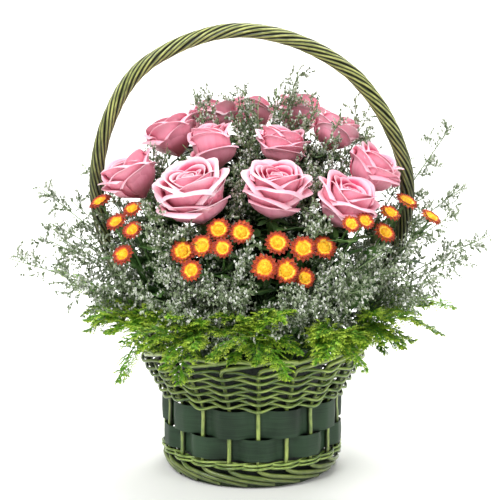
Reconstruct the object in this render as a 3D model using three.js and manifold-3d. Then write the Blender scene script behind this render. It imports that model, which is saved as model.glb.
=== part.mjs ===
// Flower basket arrangement: twelve pink roses, button chrysanthemums, statice and feathery
// fern in floral foam, in a green dyed wicker basket with a tall handle of twisted rods.
// Millimetres, +Z up. The viewer stands on the -Y side, with +X to the right.
// Origin: centre of the underside of the base board. Angles run from the front towards +X.

import * as THREE from 'three';
import { mergeVertices } from 'three/addons/utils/BufferGeometryUtils.js';
import Module from 'manifold-3d';

const wasm = await Module();
wasm.setup();

// ---------- driving dimensions ----------

const GAP = 0.35;                  // clearance between two pieces that touch
const DEG = Math.PI / 180;

// basket
const STAKES = 20;                 // upright rods of the basket
const STAKE_STEP = 360 / STAKES;   // degrees from one stake to the next
const FIRST_STAKE = 3.9;           // degrees, the stake just right of the front centre
const STAKE_RADIUS = 2.2;
const CROSSING = 0.5;              // how far beyond a stake's side a weaver starts to cross over
const WALL_RADIUS = 84;            // circle of the stakes in the straight wall
const FLARE_START = 74.5;          // height where the wall begins to lean out
const FLARE_SLOPE = 0.56;          // how far it leans out for each millimetre up
const BOARD = { radius: 77.4, thickness: 5, corners: 20 };
const STRIPS = { lower: [27.4, 47.5], upper: [48, 73.4], thickness: 1.4 };
const FOOT_WALE = { first: 20.6, pitch: 2.4, turns: 2, halfHeight: 1.9, thickness: 2.2 };
const FLARE_ROWS = { first: 78.2, pitch: 6.4, turns: 5, halfHeight: 2.6, thickness: 2.4 };
const FOOT_BORDER = { start: 16, end: 3.2, sweep: 47, bulge: 1.5, taper: 6 };
const RIM_BORDER = { start: 115, end: 128, sweep: 35, bulge: 1.2, taper: 0, tuck: 4, sag: 1.75 };

// liner and floral foam
const LINER = { radius: 68, topRadius: 69.4, top: 110, wall: 1.2, corners: 20 };
const FOAM = { radius: 66.2, topRadius: 67, top: 109, corners: 20 };
const STEM_DEPTH = 26;             // how far a stem stands in the foam
const STEM_MOUTH = 3;              // height over the foam where a stem's foot ends

// The way things lean out from the middle: the least and the most tilt in degrees, and how
// much it grows for each millimetre from the middle.
const LEANS = {
  bloom: { least: 3, most: 40, gain: 0.32 },
  roseFoot: { least: 3, most: 25, gain: 0.5 },
  mumFoot: { least: 3, most: 30, gain: 0.5 },
  staticeFoot: { least: 3, most: 38, gain: 0.6 },
  fernFoot: { least: 3, most: 42, gain: 0.6 },
};

// handle, a bundle of rods twisted together, hand bent and a little fuller on the left
const HANDLE = { radius: 7.2, valley: 5.7, rods: 6, pitch: 140, steps: 36 };
const HANDLE_LINE = [
  [-78.4, 92], [-95.4, 121], [-131, 190], [-149, 264], [-140.6, 324], [-112, 377], [-66, 407],
  [-12, 419.5], [46, 408], [97, 377], [134.6, 324], [149.5, 264], [131, 190], [95.4, 121], [78.4, 92],
];

// roses: head centre, head radius, how long the head is for its width
const ROSES = [
  { head: [-112, -32, 283], radius: 27, tall: 1.6 },
  { head: [-79, 14, 323], radius: 25, tall: 1.55 },
  { head: [-38, -14, 312], radius: 22.5, tall: 1.95 },
  { head: [-52, -72, 270], radius: 33, tall: 1.75 },
  { head: [21, -74, 273], radius: 29.5, tall: 1.8 },
  { head: [28, -12, 312], radius: 23, tall: 1.6 },
  { head: [86, -71, 265], radius: 27, tall: 1.65 },
  { head: [114, -27, 291], radius: 25.5, tall: 1.6 },
  { head: [-40, 44, 337], radius: 21.5, tall: 1.55 },
  { head: [-2, 76, 338], radius: 24, tall: 1.55 },
  { head: [46, 52, 341], radius: 23, tall: 1.55 },
  { head: [80, 21, 324], radius: 22.5, tall: 1.55 },
];
const ROSE_STEM = { radius: 2.4, rise: 50, approach: 60, neck: 13, spin: 1.9 };
const STEM_GATHER = 0.26;          // how near the middle a stem stands, for how far out its head is

// button chrysanthemums: one branching stem for each group of heads [x, y, z, radius]
const MUM_SPRAYS = [
  { foot: [-36, -16], fork: [-92, -64, 178], heads: [
    [-142, -26, 259, 11.5], [-122, -68, 244, 10], [-108, -60, 255, 9.5], [-106, -82, 238, 9.5],
    [-114, -88, 217, 10]] },
  { foot: [-18, -33], fork: [-40, -76, 168], heads: [
    [-60, -98, 221, 11.5], [-43, -107, 227, 10.5], [-29, -96, 240, 11], [-25, -116, 226, 9],
    [-52, -116, 207, 9.5]] },
  { foot: [1, -38], fork: [8, -78, 160], heads: [
    [-9, -102, 238, 11], [22, -106, 229.5, 11], [11, -120, 210, 11.5], [29.5, -114, 206, 11.5],
    [46, -108, 199, 9]] },
  { foot: [24, -30], fork: [50, -74, 165], heads: [
    [44, -107, 225, 11.5], [63, -99, 225, 11], [85, -110, 246, 8.5], [98, -102, 248, 8.5]] },
  { foot: [36, -16], fork: [96, -68, 178], heads: [
    [120, -66, 234, 10.5], [126, -54, 251, 10], [144, -31, 260, 11.5], [167, -33, 245, 10.5]] },
  { foot: [0, 41], fork: [-6, 84, 178], heads: [
    [-58, 96, 242, 12], [-32, 108, 222, 11], [2, 112, 240, 12], [30, 104, 224, 11],
    [56, 96, 250, 11.5]] },
];
const MUM = {
  petals: 7, inner: 0.46, notch: 0.74, calyx: 0.5, rise: 0.16, dome: 0.36,
  stem: 2, branch: 1, forkStep: 0.2, neck: 14,
  facing: { aside: 0.5, behind: 40, below: 190, up: 1.1, lift: 0.5 },
};

// statice: a stem that forks towards each outer tip
const STATICE_SPRAYS = [
  { foot: [-48, 8], fork: [-96, 14, 160], tips: [[-196, 6, 236], [-210, 22, 271], [-158, 26, 292]] },
  { foot: [-38, -28], fork: [-92, -52, 148],
    tips: [[-228, -34, 207], [-168, -80, 190], [-174, -54, 228]] },
  { foot: [-11, -47], fork: [-30, -84, 140],
    tips: [[-96, -122, 186], [-66, -132, 168], [-8, -134, 184]] },
  { foot: [25, -42], fork: [54, -82, 152], tips: [[36, -132, 176], [92, -122, 190], [126, -104, 206]] },
  { foot: [44, -20], fork: [104, -44, 152], tips: [[198, -42, 208], [164, -76, 192], [224, -28, 228]] },
  { foot: [48, 10], fork: [104, 26, 168], tips: [[204, 12, 270], [192, 18, 327], [158, 36, 292]] },
  { foot: [2, 8], fork: [6, 23, 250], tips: [[-55, 12, 360], [28, 24, 368], [-14, 18, 364]] },
  { foot: [25, 42], fork: [52, 92, 170], tips: [[110, 96, 262], [64, 128, 226], [128, 110, 206]] },
  { foot: [-25, 42], fork: [-54, 92, 170], tips: [[-112, 92, 262], [-70, 126, 220], [-130, 108, 206]] },
];
const STATICE = {
  stem: 1.9, rise: 30, fork: 1.25, forkStep: 0.22, arch: 8,
  twig: 0.6, twigs: 2, twigLength: [22, 36], forward: 0.8, tries: 12, bead: 1.7, floret: 6,
};

// fern: a stem over the rim that parts into drooping fronds, [frond tip x, y, z]
const FERN_SPRAYS = [
  { foot: [-57, -6], over: [-132, -22, 160], tips: [[-192, -12, 192], [-155, -44, 138]] },
  { foot: [-47, -35], over: [-112, -84, 152], tips: [[-148, -88, 158], [-118, -96, 103]] },
  { foot: [-27, -54], over: [-66, -122, 150], tips: [[-108, -146, 150], [-62, -134, 112]] },
  { foot: [3, -58], over: [2, -136, 154], tips: [[-36, -150, 136], [32, -146, 118]] },
  { foot: [35, -49], over: [72, -116, 150], tips: [[62, -150, 138], [98, -128, 122]] },
  { foot: [51, -31], over: [116, -78, 152], tips: [[150, -96, 156], [148, -72, 134]] },
  { foot: [58, -7], over: [136, -16, 158], tips: [[192, -34, 160], [182, -28, 133]] },
  { foot: [42, 40], over: [98, 100, 156], tips: [[142, 108, 158], [96, 128, 120]] },
  { foot: [0, 58], over: [6, 136, 156], tips: [[-40, 152, 150], [44, 148, 126]] },
  { foot: [-42, 40], over: [-98, 100, 156], tips: [[-144, 102, 158], [-100, 126, 118]] },
];
const FERN = {
  stem: 1.5, rise: 26, forkStep: 0.3, arch: 7, blade: 0.8, teeth: 5,
  tooth: 19, taper: 0.75, first: 0.45, notch: 1.6, sweep: 0.7, ripple: 2.5, droop: 0.15,
};

// ---------- materials ----------

const finish = (color, roughness, metalness = 0) =>
  new THREE.MeshStandardMaterial({ color, roughness, metalness, flatShading: true });

const BOARD_GREEN = finish(0x3c4a34, 0.8);
const ROD_GREEN = finish(0x8fa048, 0.5);
const STRIP_GREEN = finish(0x37493a, 0.45);
const HANDLE_GREEN = finish(0x6f7f35, 0.5);
const LINER_DARK = finish(0x2b3238, 0.4);
const FOAM_GREEN = finish(0x3f5a3a, 0.95);
const ROSE_PINK = finish(0xf0a3b4, 0.6);
const STEM_GREEN = finish(0x4c6b32, 0.6);
const MUM_YELLOW = finish(0xe8a92c, 0.6);
const STATICE_GREY = finish(0x9aa592, 0.8);
const FERN_GREEN = finish(0x82ab34, 0.7);

// ---------- vectors ----------

const vector = (x, y, z) => new THREE.Vector3(x, y, z);
const fromList = ([x, y, z]) => vector(x, y, z);
const along = (origin, direction, distance) => origin.clone().addScaledVector(direction, distance);
const between = (a, b, t) => a.clone().lerp(b, t);

function polar(radius, degrees, z) {
  return vector(radius * Math.sin(degrees * DEG), -radius * Math.cos(degrees * DEG), z);
}

// Seeded random numbers from 0 to 1.
function randomFrom(seed) {
  let state = seed >>> 0;
  return () => {
    state = (state + 0x6d2b79f5) >>> 0;
    let t = state;
    t = Math.imul(t ^ (t >>> 15), t | 1);
    t ^= t + Math.imul(t ^ (t >>> 7), t | 61);
    return ((t ^ (t >>> 14)) >>> 0) / 4294967296;
  };
}

// ---------- closed solids ----------

// A manifold solid from a closed three.js geometry, with its faces turned to point out.
function solidFrom(geometry) {
  const bare = geometry.clone();
  bare.deleteAttribute('normal');
  bare.deleteAttribute('uv');
  const merged = mergeVertices(bare, 1e-4);
  const position = merged.attributes.position;
  const triVerts = Uint32Array.from(merged.index.array);
  const corner = (i) => new THREE.Vector3().fromBufferAttribute(position, i);
  let volume = 0;
  for (let i = 0; i < triVerts.length; i += 3) {
    const [a, b, c] = [corner(triVerts[i]), corner(triVerts[i + 1]), corner(triVerts[i + 2])];
    volume += a.dot(b.cross(c));
  }
  if (volume < 0) triVerts.reverse();
  const vertProperties = Float32Array.from(position.array);
  return new wasm.Manifold(new wasm.Mesh({ numProp: 3, vertProperties, triVerts }));
}

function indexed(positions, index) {
  const geometry = new THREE.BufferGeometry();
  geometry.setAttribute('position', new THREE.Float32BufferAttribute(positions, 3));
  geometry.setIndex(index);
  return geometry;
}

// Skins a row of point rings, which may have different counts. A ring of one point is a tip,
// and any other end gets a flat cap.
function loft(rings, closed = false) {
  const positions = rings.flat().flatMap((p) => [p.x, p.y, p.z]);
  const index = [];
  const starts = rings.map((_, i) => rings.slice(0, i).reduce((sum, ring) => sum + ring.length, 0));
  const last = rings.length - 1;
  for (let i = 0; i < (closed ? rings.length : last); i++) {
    const j = (i + 1) % rings.length;
    const [low, high] = [rings[i].length, rings[j].length];
    let [a, b] = [0, 0];
    while (a < low || b < high) {
      const [from, to] = [starts[i] + (a % low), starts[j] + (b % high)];
      if (b === high || (a < low && (a + 0.5) / low < (b + 0.5) / high)) {
        a += 1;
        if (low > 1) index.push(from, starts[i] + (a % low), to);
      } else {
        b += 1;
        if (high > 1) index.push(from, starts[j] + (b % high), to);
      }
    }
  }
  if (!closed) {
    const [first, end] = [starts[0], starts[last]];
    for (let k = 1; k < rings[0].length - 1; k++) index.push(first, first + k + 1, first + k);
    for (let k = 1; k < rings[last].length - 1; k++) index.push(end, end + k, end + k + 1);
  }
  return solidFrom(indexed(positions, index));
}

function ringAround(centre, across, up, radius, sides, turn = 0) {
  return Array.from({ length: sides }, (_, k) => {
    const angle = turn + (k / sides) * 2 * Math.PI;
    return centre.clone()
      .addScaledVector(across, radius * Math.cos(angle))
      .addScaledVector(up, radius * Math.sin(angle));
  });
}

// The rings of a rod through the given points. The radius is a number, or a function of the
// way along from 0 to 1.
function rodRings(points, radius, sides) {
  const rings = [];
  const last = points.length - 1;
  let across = null;
  points.forEach((point, i) => {
    const tangent = points[Math.min(i + 1, last)].clone().sub(points[Math.max(i - 1, 0)]).normalize();
    if (!across) across = Math.abs(tangent.z) > 0.9 ? vector(1, 0, 0) : vector(0, 0, 1);
    across = across.clone().addScaledVector(tangent, -across.dot(tangent)).normalize();
    const up = tangent.clone().cross(across);
    const size = typeof radius === 'number' ? radius : radius(i / last);
    rings.push(ringAround(point, across, up, size, sides));
  });
  return rings;
}

const rod = (points, radius, sides = 3) => loft(rodRings(points, radius, sides));

// A turned solid from [radius, height] pairs that start and end on the axis.
function turned(profile, corners) {
  return loft(profile.map(([radius, z]) =>
    radius === 0 ? [vector(0, 0, z)]
      : Array.from({ length: corners }, (_, k) => polar(radius, (k * 360) / corners, z))));
}

// A bent blade from a root point and rows of points, made thick along each point's own
// direction. The front and the back are split into triangles alike.
function blade(root, rows, directions, thickness) {
  const columns = rows[0].length;
  const last = rows.length - 1;
  const positions = [];
  for (const side of [0.5, -0.5]) {
    rows.forEach((row, i) => row.forEach((p, k) => {
      const q = along(p, directions[i][k], side * thickness);
      positions.push(q.x, q.y, q.z);
    }));
  }
  const front = (i, k) => i * columns + k;
  const back = (i, k) => rows.length * columns + front(i, k);
  const tip = positions.length / 3;
  positions.push(root.x, root.y, root.z);
  const index = [];
  for (let k = 0; k < columns - 1; k++) {
    index.push(tip, front(0, k + 1), front(0, k), tip, back(0, k), back(0, k + 1));
    for (let i = 0; i < last; i++) {
      index.push(front(i, k), front(i, k + 1), front(i + 1, k + 1));
      index.push(front(i, k), front(i + 1, k + 1), front(i + 1, k));
      index.push(back(i, k), back(i + 1, k + 1), back(i, k + 1));
      index.push(back(i, k), back(i + 1, k), back(i + 1, k + 1));
    }
  }
  const edge = [];
  for (let i = 0; i <= last; i++) edge.push([i, columns - 1]);
  for (let k = columns - 2; k >= 0; k--) edge.push([last, k]);
  for (let i = last - 1; i >= 0; i--) edge.push([i, 0]);
  index.push(tip, back(...edge[0]), front(...edge[0]));
  edge.slice(1).forEach(([j, m], n) => {
    const [i, k] = edge[n];
    index.push(front(i, k), back(i, k), back(j, m), front(i, k), back(j, m), front(j, m));
  });
  const end = edge[edge.length - 1];
  index.push(tip, front(...end), back(...end));
  return solidFrom(indexed(positions, index));
}

const fused = (solids) => wasm.Manifold.union(solids);

// The largest body of a solid; loose scraps are dropped.
function mainBody(solid) {
  return solid.decompose().reduce((best, body) => (body.volume() > best.volume() ? body : best));
}

function piece(name, solid, material) {
  const { vertProperties, triVerts } = mainBody(solid).getMesh();
  const geometry = new THREE.BufferGeometry();
  geometry.setAttribute('position', new THREE.BufferAttribute(Float32Array.from(vertProperties), 3));
  geometry.setIndex(Array.from(triVerts));
  const mesh = new THREE.Mesh(geometry, material);
  mesh.name = name;
  return mesh;
}

const numbered = (base, i, tail = '') => `${base}_${String(i + 1).padStart(2, '0')}${tail}`;

// ---------- room between the pieces ----------

const ROOM_STEP = 3;               // distance between the balls on a line
const BEND_PASSES = 12;

// Balls that stand for what is already placed, so that later twigs are bent or left clear.
class Room {
  constructor() { this.balls = []; }

  add(owner, centre, radius) { this.balls.push({ owner, centre, radius }); }

  // Points close together on a line of points.
  static along(points) {
    return points.slice(1).flatMap((end, i) => {
      const steps = Math.ceil(points[i].distanceTo(end) / ROOM_STEP);
      return Array.from({ length: steps + 1 }, (_, k) => between(points[i], end, k / steps));
    });
  }

  addLine(owner, points, radius) {
    Room.along(points).forEach((centre) => this.add(owner, centre, radius));
  }

  clear(owner, centre, radius) {
    return this.balls.every((ball) =>
      ball.owner === owner || ball.centre.distanceTo(centre) > ball.radius + radius);
  }

  lineClear(owner, points, radius) {
    return Room.along(points).every((centre) => this.clear(owner, centre, radius));
  }

  // Bends the inner points of a line out of every ball in its way.
  bend(owner, points, radius) {
    const line = points.map((p) => p.clone());
    for (let pass = 0; pass < BEND_PASSES; pass++) {
      for (let i = 1; i < line.length - 1; i++) {
        for (const ball of this.balls) {
          const away = line[i].clone().sub(ball.centre);
          const room = ball.radius + radius - away.length();
          if (ball.owner !== owner && room > 0) line[i].addScaledVector(away.normalize(), room);
        }
      }
    }
    return line;
  }
}

const room = new Room();

// ---------- basket ----------

function wallRadius(z) {
  return WALL_RADIUS + FLARE_SLOPE * Math.max(0, z - FLARE_START);
}

// Direction up the wall at a height, and the direction out of it, as [radial, vertical].
function wallFrame(z) {
  const rise = z > FLARE_START ? FLARE_SLOPE : 0;
  const length = Math.hypot(rise, 1);
  return { up: [rise / length, 1 / length], out: [1 / length, -rise / length] };
}

// Weavers go outside one stake and inside the next, straight in between. The section is a
// list of [out, up] points, and reach is how far the weaver moves out and in.
function weaverRings(z, rise, turns, section, reach, parity) {
  const rings = [];
  for (let pass = 0; pass < STAKES * turns; pass++) {
    const height = z + (rise * pass) / STAKES;
    const { up, out } = wallFrame(height);
    const side = (STAKE_RADIUS + CROSSING) / wallRadius(height) / DEG;
    const turn = Math.floor(pass / STAKES);
    const shift = (pass + turn + parity) % 2 ? -reach.inside : reach.outside;
    for (const step of [-side, side]) {
      const angle = FIRST_STAKE + pass * STAKE_STEP + step;
      rings.push(section.map(([o, u]) => polar(
        wallRadius(height) + (shift + o) * out[0] + u * up[0],
        angle, height + (shift + o) * out[1] + u * up[1])));
    }
  }
  return rings;
}

// A round weaver is a three-sided rod with its edge outwards. It climbs as it goes round, and
// passes two stakes alike where a turn begins, so that each turn alternates with the last.
function roundWeaver({ first, pitch, turns, halfHeight, thickness }) {
  const section = [[-thickness / 2, -halfHeight], [thickness, 0], [-thickness / 2, halfHeight]];
  const clear = STAKE_RADIUS + GAP;
  const reach = { outside: clear + thickness / 2, inside: clear + thickness };
  return loft(weaverRings(first, pitch, turns, section, reach, 0));
}

function flatStrip([low, high], thickness, parity) {
  const half = thickness / 2;
  const rise = (high - low) / 2;
  const section = [[-half, -rise], [half, -rise], [half, rise], [-half, rise]];
  const shift = STAKE_RADIUS + GAP + half;
  const reach = { outside: shift, inside: shift };
  return loft(weaverRings((low + high) / 2, 0, 1, section, reach, parity), true);
}

// A stake: laid over in the foot border, upright in the wall, leaning out, and laid over in
// the rim with its end tucked onto the next stake.
function stake(number) {
  const angle = FIRST_STAKE + number * STAKE_STEP;
  const lay = (border, t, drop = 0) => {
    const z = border.start + (border.end - border.start) * t - drop;
    const radius = wallRadius(z) + border.bulge - border.taper * t * t;
    return polar(radius, angle + border.sweep * t, z);
  };
  const foot = [1, 0.55, 0.12].map((t) => lay(FOOT_BORDER, t));
  const heights = [FOOT_BORDER.start + STAKE_RADIUS, FLARE_START, RIM_BORDER.start];
  const wall = heights.map((z) => polar(wallRadius(z), angle, z));
  const { sag, tuck } = RIM_BORDER;
  const rim = [[0.16, -sag], [0.72, -sag], [1, tuck]].map(([t, drop]) => lay(RIM_BORDER, t, drop));
  return rod([...foot, ...wall, ...rim], STAKE_RADIUS, 4);
}

function buildBasket() {
  const basket = new THREE.Group();
  const { radius, thickness, corners } = BOARD;
  const board = turned([[0, 0], [radius, 0], [radius, thickness], [0, thickness]], corners);
  const stakes = Array.from({ length: STAKES }, (_, i) => stake(i));
  basket.add(
    piece('base_board', board, BOARD_GREEN),
    piece('stake_frame', fused(stakes), ROD_GREEN),
    piece('foot_wale', roundWeaver(FOOT_WALE), ROD_GREEN),
    piece('strip_lower', flatStrip(STRIPS.lower, STRIPS.thickness, 0), STRIP_GREEN),
    piece('strip_upper', flatStrip(STRIPS.upper, STRIPS.thickness, 1), STRIP_GREEN),
    piece('flare_weave', roundWeaver(FLARE_ROWS), ROD_GREEN),
    buildHandle(),
  );
  return basket;
}

// The handle's section is a ring of lobes, one for each rod, turned as it goes along.
function buildHandle() {
  const bends = HANDLE_LINE.map(([x, z]) => vector(x, 0, z));
  const line = new THREE.CatmullRomCurve3(bends, false, 'centripetal');
  const points = line.getSpacedPoints(HANDLE.steps);
  const length = line.getLength();
  const depth = vector(0, 1, 0);
  const rings = points.map((point, i) => {
    const tangent = line.getTangentAt(i / HANDLE.steps);
    const out = tangent.clone().cross(depth);
    const turn = (i / HANDLE.steps) * (length / HANDLE.pitch) * 2 * Math.PI;
    return Array.from({ length: HANDLE.rods * 2 }, (_, k) => {
      const angle = turn + (k / (HANDLE.rods * 2)) * 2 * Math.PI;
      const radius = k % 2 ? HANDLE.valley : HANDLE.radius;
      return point.clone()
        .addScaledVector(out, radius * Math.cos(angle))
        .addScaledVector(depth, radius * Math.sin(angle));
    });
  });
  room.addLine('handle', points, HANDLE.radius + 1);
  return piece('handle', loft(rings), HANDLE_GREEN);
}

// ---------- foam and the stems that stand in it ----------

// The direction of a flower or a stem at this place: up, and out from the middle.
function leaning(x, y, { least, most, gain }) {
  const reach = Math.hypot(x, y);
  const tilt = Math.min(most, least + gain * reach) * DEG;
  return vector(x / reach * Math.sin(tilt), y / reach * Math.sin(tilt), Math.cos(tilt));
}

const stemHoles = [];

// The straight foot of a stem in the foam, leaning the way the stem leaves it.
// It also cuts the stem's hole, a little wider and deeper.
function stemFoot([x, y], lean, radius, sides) {
  const mouth = vector(x, y, FOAM.top + STEM_MOUTH);
  const root = along(mouth, lean, -STEM_DEPTH);
  const holeRadius = radius + GAP / Math.cos(Math.PI / sides);
  stemHoles.push(rod([along(root, lean, -GAP), along(mouth, lean, STEM_MOUTH)], holeRadius, sides));
  return { root, mouth };
}

function buildFilling() {
  const filling = new THREE.Group();
  const floor = BOARD.thickness + GAP;
  const { radius, topRadius, top, wall, corners } = LINER;
  const liner = turned([
    [0, floor], [radius, floor], [topRadius, top],
    [topRadius - wall, top], [radius - wall, floor + wall], [0, floor + wall]], corners);
  const seat = floor + wall + GAP;
  const block = turned([
    [0, seat], [FOAM.radius, seat], [FOAM.topRadius, FOAM.top], [0, FOAM.top]], FOAM.corners);
  filling.add(
    piece('liner', liner, LINER_DARK),
    piece('foam', block.subtract(fused(stemHoles)), FOAM_GREEN),
  );
  return filling;
}

// ---------- roses ----------

// The outer petals of a rose, in units of the head: how many, how wide in degrees, and the
// distance from the axis and height of their belly and lip. The lip rolls out to a point.
const PETALS = {
  count: 5, width: 70, tuck: 0.03, thickness: 1, root: [0.05, 0.06], point: 0.12, lipTilt: 0.6,
  levels: [
    { reach: 0.74, height: 0.44, spread: 1 },
    { reach: 0.98, height: 0.78, spread: 0.8 },
  ],
};

// The heart of a rose, in one fold after another: [distance from the axis, height, scallop,
// corners]. The lowest folds have a flat for each outer petal.
const HEART = [
  [0.17, 0, 0, 5], [0.42, 0.26, 0, 5], [0.56, 0.6, 0, 6], [0.57, 0.92, 0.1, 6], [0.42, 0.76, 0, 6],
  [0.33, 0.99, 0.06, 6], [0.18, 0.84, 0, 6], [0, 0.97, 0, 1],
];
const HEART_TWIST = 14;            // degrees from one upper fold to the next

function petal(number, radius, height) {
  const middle = (number * 360) / PETALS.count;
  const rows = PETALS.levels.map(({ reach, height: up, spread }, level) => [-1, 0, 1].map((side) => {
    const droop = level && side ? PETALS.point : 0;
    const distance = (reach + PETALS.tuck * side) * radius;
    return polar(distance, middle + (side * spread * PETALS.width) / 2, (up - droop) * height);
  }));
  const directions = rows.map((row, level) => row.map((p) =>
    vector(p.x, p.y, 0).normalize().setZ(level ? -PETALS.lipTilt : 0).normalize()));
  const root = polar(PETALS.root[0] * radius, middle, PETALS.root[1] * height);
  return blade(root, rows, directions, PETALS.thickness);
}

function bloomSolid(radius, height) {
  const heart = HEART.map(([reach, up, scallop, corners], fold) => {
    const turn = 180 / PETALS.count + Math.max(0, fold - 1) * HEART_TWIST;
    return Array.from({ length: corners }, (_, k) => polar(
      reach * radius, (k * 360) / corners + turn, (up - scallop * (k % 2)) * height));
  });
  const petals = Array.from({ length: PETALS.count }, (_, k) => petal(k, radius, height));
  return fused([loft(heart), ...petals]);
}

// Hip and sepals: a star-shaped cup under the bloom, on top of the stem.
const CALYX = { sepals: 5, hip: 0.17, notch: 0.2, sepal: 0.52, depth: 7, edge: 1, droop: 4, turn: 45 };

function calyxRings(radius, placed) {
  const star = (inner, outer, z, drop) => Array.from({ length: CALYX.sepals * 2 }, (_, k) => {
    const angle = CALYX.turn + (k * 180) / CALYX.sepals;
    const [reach, down] = k % 2 ? [inner, 0] : [outer, drop];
    return polar(reach * radius, angle, z - down).applyMatrix4(placed);
  });
  return [
    star(CALYX.hip, CALYX.hip, -CALYX.depth, 0),
    star(CALYX.notch, CALYX.sepal, -GAP - CALYX.edge, CALYX.droop),
    [vector(0, 0, -GAP).applyMatrix4(placed)],
  ];
}

function buildRose({ head, radius, tall }, number) {
  const centre = fromList(head);
  const axis = leaning(head[0], head[1], LEANS.bloom);
  const height = radius * tall;
  const base = along(centre, axis, -height * 0.5);
  const turn = new THREE.Quaternion().setFromUnitVectors(vector(0, 0, 1), axis);
  const spin = new THREE.Quaternion().setFromAxisAngle(vector(0, 0, 1), number * ROSE_STEM.spin);
  const rotation = turn.multiply(spin);

  const bloom = piece(numbered('rose', number, '_bloom'), bloomSolid(radius, height), ROSE_PINK);
  bloom.position.copy(base);
  bloom.quaternion.copy(rotation);

  const foot = [head[0] * STEM_GATHER, head[1] * STEM_GATHER];
  const lean = leaning(...foot, LEANS.roseFoot);
  const { root, mouth } = stemFoot(foot, lean, ROSE_STEM.radius, 4);
  const bend = new THREE.CubicBezierCurve3(
    mouth, along(mouth, lean, ROSE_STEM.rise),
    along(base, axis, -ROSE_STEM.approach), along(base, axis, -ROSE_STEM.neck));
  const line = [root, ...bend.getPoints(3)];
  const placed = new THREE.Matrix4().compose(base, rotation, vector(1, 1, 1));
  const stem = loft([...rodRings(line, ROSE_STEM.radius, 4), ...calyxRings(radius, placed)]);

  const owner = numbered('rose', number);
  room.add(owner, centre, radius * 1.06 + 1);
  room.add(owner, along(base, axis, -4), radius * 0.5);
  room.addLine(owner, line, ROSE_STEM.radius + 0.8);
  const rose = new THREE.Group();
  rose.add(bloom, piece(numbered('rose', number, '_stem'), stem, STEM_GREEN));
  return rose;
}

// ---------- chrysanthemums ----------

// The rings of a head on top of its branch: a star of petals and a raised button.
function mumRings(centre, axis, radius) {
  const across = Math.abs(axis.z) > 0.9 ? vector(1, 0, 0) : vector(0, 0, 1);
  across.addScaledVector(axis, -across.dot(axis)).normalize();
  const up = axis.clone().cross(across);
  const star = Array.from({ length: MUM.petals * 2 }, (_, k) => {
    const angle = (k / MUM.petals) * Math.PI;
    const size = radius * (k % 2 ? MUM.notch : 1);
    return centre.clone()
      .addScaledVector(across, size * Math.cos(angle))
      .addScaledVector(up, size * Math.sin(angle));
  });
  return [
    star,
    ringAround(along(centre, axis, MUM.rise * radius), across, up, MUM.inner * radius, MUM.petals),
    [along(centre, axis, MUM.dome * radius)],
  ];
}

// A head looks outwards, to the front and up, and up the more the further aside it stands.
function mumFacing(x, y, z) {
  const { aside, behind, below, up, lift } = MUM.facing;
  return vector(x * aside, y - behind, (z - below) * up + Math.abs(x) * lift).normalize();
}

function buildMumSpray({ foot, fork, heads }, number) {
  const owner = numbered('mum_spray', number);
  const forkPoint = fromList(fork);
  const lean = leaning(...foot, LEANS.mumFoot);
  const { root, mouth } = stemFoot(foot, lean, MUM.stem, 4);
  const path = [root, mouth, between(mouth, forkPoint, 0.5), forkPoint];
  const main = room.bend(owner, path, MUM.stem + 0.6);
  main[1] = mouth;
  const solids = [rod(main, MUM.stem, 4)];
  room.addLine(owner, main, MUM.stem + 0.6);
  heads.forEach(([x, y, z, radius], i) => {
    const centre = vector(x, y, z);
    const start = between(main[3], main[2], i * MUM.forkStep);
    const outward = mumFacing(x, y, z);
    const neck = along(centre, outward, -MUM.calyx * radius);
    const knee = along(neck, outward, -MUM.neck);
    const line = room.bend(owner, [start, knee, neck], MUM.branch + 0.8);
    const rings = rodRings(line, MUM.branch, 3);
    solids.push(loft([...rings, ...mumRings(centre, outward, radius)]));
    room.add(owner, centre, radius + 0.8);
    room.addLine(owner, line, MUM.branch + 0.8);
  });
  return piece(owner, fused(solids), MUM_YELLOW);
}

// ---------- statice ----------

// A twig that ends in a floret, widest a little before its tip.
function beadedTwig(points, thick) {
  const tip = points[points.length - 1];
  const before = points[points.length - 2];
  const widest = between(tip, before, STATICE.floret / tip.distanceTo(before));
  const stalk = [...points.slice(0, -1), widest];
  const rings = rodRings(stalk, (t) => (t === 1 ? STATICE.bead : thick), 3);
  return loft([...rings, [tip]]);
}

// A direction that leaves a line sideways and a little forwards.
function sideways(tangent, random, forward) {
  const any = vector(random() - 0.5, random() - 0.5, random() - 0.3);
  const side = any.addScaledVector(tangent, -any.dot(tangent)).normalize();
  return side.addScaledVector(tangent, forward).normalize();
}

// Twigs in turn from both halves of a branch, each where there is room for it.
function addTwigs(owner, solids, branch, random) {
  const [least, most] = STATICE.twigLength;
  const tangent = branch[2].clone().sub(branch[1]).normalize();
  for (let k = 0; k < STATICE.twigs; k++) {
    const start = between(branch[1], branch[2], (k + 0.2) / STATICE.twigs);
    for (let attempt = 0; attempt < STATICE.tries; attempt++) {
      const direction = sideways(tangent, random, STATICE.forward);
      const end = along(start, direction, least + (most - least) * random());
      if (room.lineClear(owner, [start, end], STATICE.bead + 0.5)) {
        solids.push(beadedTwig([start, end], STATICE.twig));
        room.addLine(owner, [start, end], STATICE.bead + 0.3);
        break;
      }
    }
  }
}

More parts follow.
